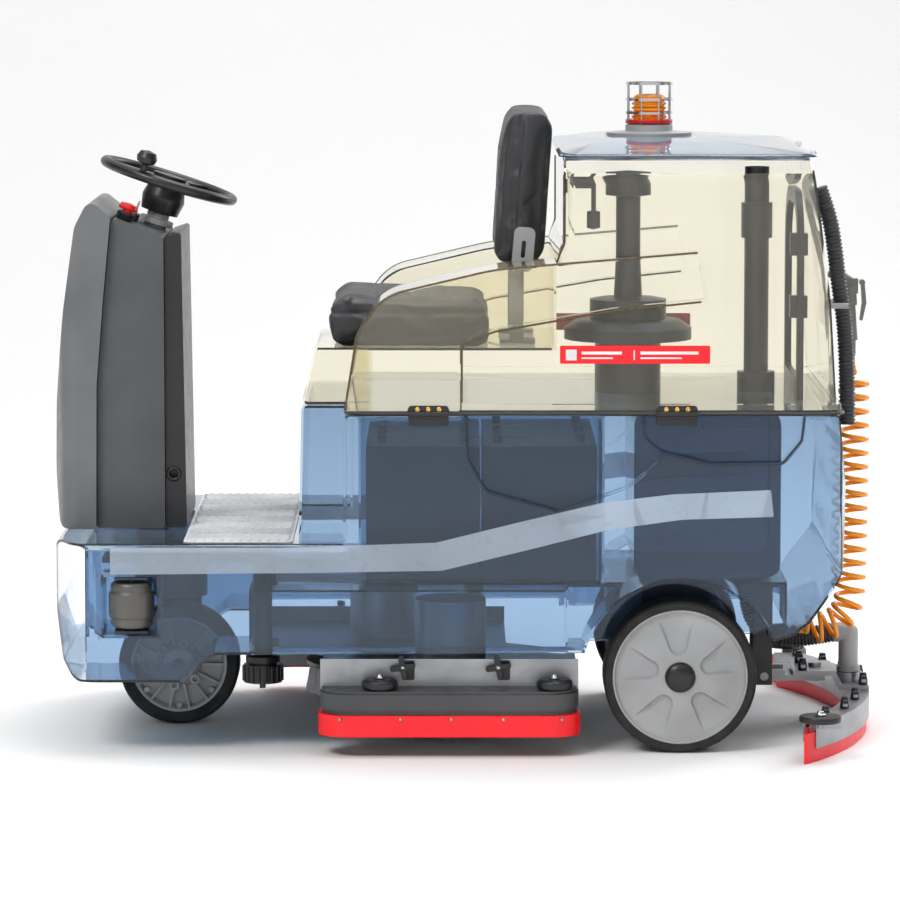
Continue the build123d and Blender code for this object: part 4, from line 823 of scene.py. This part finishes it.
# ---- wing nuts of the squeegee --------------------------------------------------------------
nuts = Form()
arc_radius = (530.0 ** 2 + 163.8 ** 2) / (2 * 163.8)
arc_x = 855.8 - arc_radius
spots = [(847, -52, 88), (847, 52, 88), (718, -52, 119), (718, 52, 119)]
for share in (-0.78, -0.56, -0.34, 0.34, 0.56, 0.78):
    at_y = share * 530
    spots.append((arc_x + sqrt((arc_radius - 19) ** 2 - at_y ** 2), at_y, 76))
for at_x, at_y, foot in spots:
    nuts.lathe([(5.6, foot + 0.2), (9.8, foot + 0.2), (9.8, foot + 8), (8.2, foot + 17),
                (6.4, foot + 24.6), (0, foot + 24.8)], (at_x, at_y, 0), steps=24)
    for way in (-1, 1):
        wing_outline = rounded([(at_y + way * 4, foot + 5), (at_y + way * 17, foot + 6),
                                (at_y + way * 23, foot + 17), (at_y + way * 19, foot + 22),
                                (at_y + way * 6, foot + 16)], 4)
        nuts.slab(wing_outline, at_x - 5.6, at_x + 5.6, plane="yz")
nuts.place("wing_nuts", "black_plastic", "squeegee", bevel=1.0)

# ---- cushions -------------------------------------------------------------------------------


def cushion(name, node, body, voxel, pressure, cap, grooves):
    """Puffed copy of a CAD solid, with sewn channels pressed in."""
    source = nodes[node]
    low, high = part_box(node)
    middle = (low + high) / 2
    mesh = source.data.copy()
    thing = bpy.data.objects.new(name, mesh)
    scene.collection.objects.link(thing)
    for vert in mesh.vertices:
        for axis in range(3):
            span = (high[axis] - low[axis]) / 2
            vert.co[axis] = middle[axis] + (vert.co[axis] - middle[axis]) * (1 - cap * 0.55 / span)
    weld = thing.modifiers.new("weld", "WELD")
    weld.merge_threshold = 0.0001
    remesh = thing.modifiers.new("remesh", "REMESH")
    remesh.mode = "VOXEL"
    remesh.voxel_size = voxel
    freeze(thing)
    rest = [v.co.copy() for v in thing.data.vertices]
    cloth = thing.modifiers.new("cloth", "CLOTH")
    cloth.settings.use_pressure = True
    cloth.settings.uniform_pressure_force = pressure
    cloth.settings.effector_weights.gravity = 0.0
    cloth.settings.quality = 5
    for number in range(1, 21):
        scene.frame_set(number)
    freeze(thing)
    for vert, old in zip(thing.data.vertices, rest):
        move = vert.co - old
        if move.length > cap:
            vert.co = old + move.normalized() * cap
    scene.frame_set(1)
    work = bmesh.new()
    work.from_mesh(thing.data)
    for _ in range(3):
        bmesh.ops.smooth_vert(work, verts=work.verts, factor=0.5, use_axis_x=True,
                              use_axis_y=True, use_axis_z=True)
    work.normal_update()
    for vert in work.verts:
        vert.co -= vert.normal * grooves(vert.co * 1000, vert.normal) * 0.001
    work.to_mesh(thing.data)
    work.free()
    finer = thing.modifiers.new("finer", "SUBSURF")
    finer.levels = finer.render_levels = 1
    for face in thing.data.polygons:
        face.use_smooth = True
    thing.data.materials.clear()
    thing.data.materials.append(finish["seat_black"])
    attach(thing, body)
    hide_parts(node)
    return thing


def freeze(thing):
    """Apply every modifier."""
    bpy.context.view_layer.update()
    held = thing.evaluated_get(bpy.context.evaluated_depsgraph_get())
    mesh = bpy.data.meshes.new_from_object(held)
    thing.modifiers.clear()
    thing.data = mesh


def dent(value, at, width):
    """Bell-shaped groove."""
    return max(0.0, 1 - ((value - at) / width) ** 2) ** 2


def seat_grooves(at, normal):
    """Piped edge all round and three channels across the seat."""
    edge = 4.0 * dent(at.z, 893, 7) * (abs(normal.z) < 0.7)
    top = 0.0
    if normal.z > 0.5:
        inside = ease(178 - abs(at.y), 0, 12) * ease(at.x + 262, 0, 12) * ease(30 - at.x, 0, 12)
        top = max(4.5 * dent(at.x, x, 9) * inside for x in (-190, -115, -40))
        top = max(top, 4.0 * dent(abs(at.y), 182, 8))
    return max(edge, top)


def back_grooves(at, normal):
    """Channels across the front of the backrest, and a groove down its sides."""
    front = 0.0
    if normal.x < -0.4:
        inside = ease(160 - abs(at.y), 0, 12)
        front = max(6.0 * dent(at.z, z, 10) * inside for z in (1060, 1140, 1220))
        front = max(front, 6.0 * dent(abs(at.y), 166, 9) * ease(1294 - at.z, 0, 20))
    side = 0.0
    if abs(normal.y) > 0.6:
        front_x = 60 + (at.z - 990) * 0.075
        side = 4.5 * dent(at.x, front_x + 34, 6)
    return max(front, side)


cushion("seat_pad", "seat_cushion", "recovery", 0.005, 4.0, 0.009, seat_grooves)
cushion("back_pad", "backrest", "recovery", 0.005, 4.0, 0.007, back_grooves)
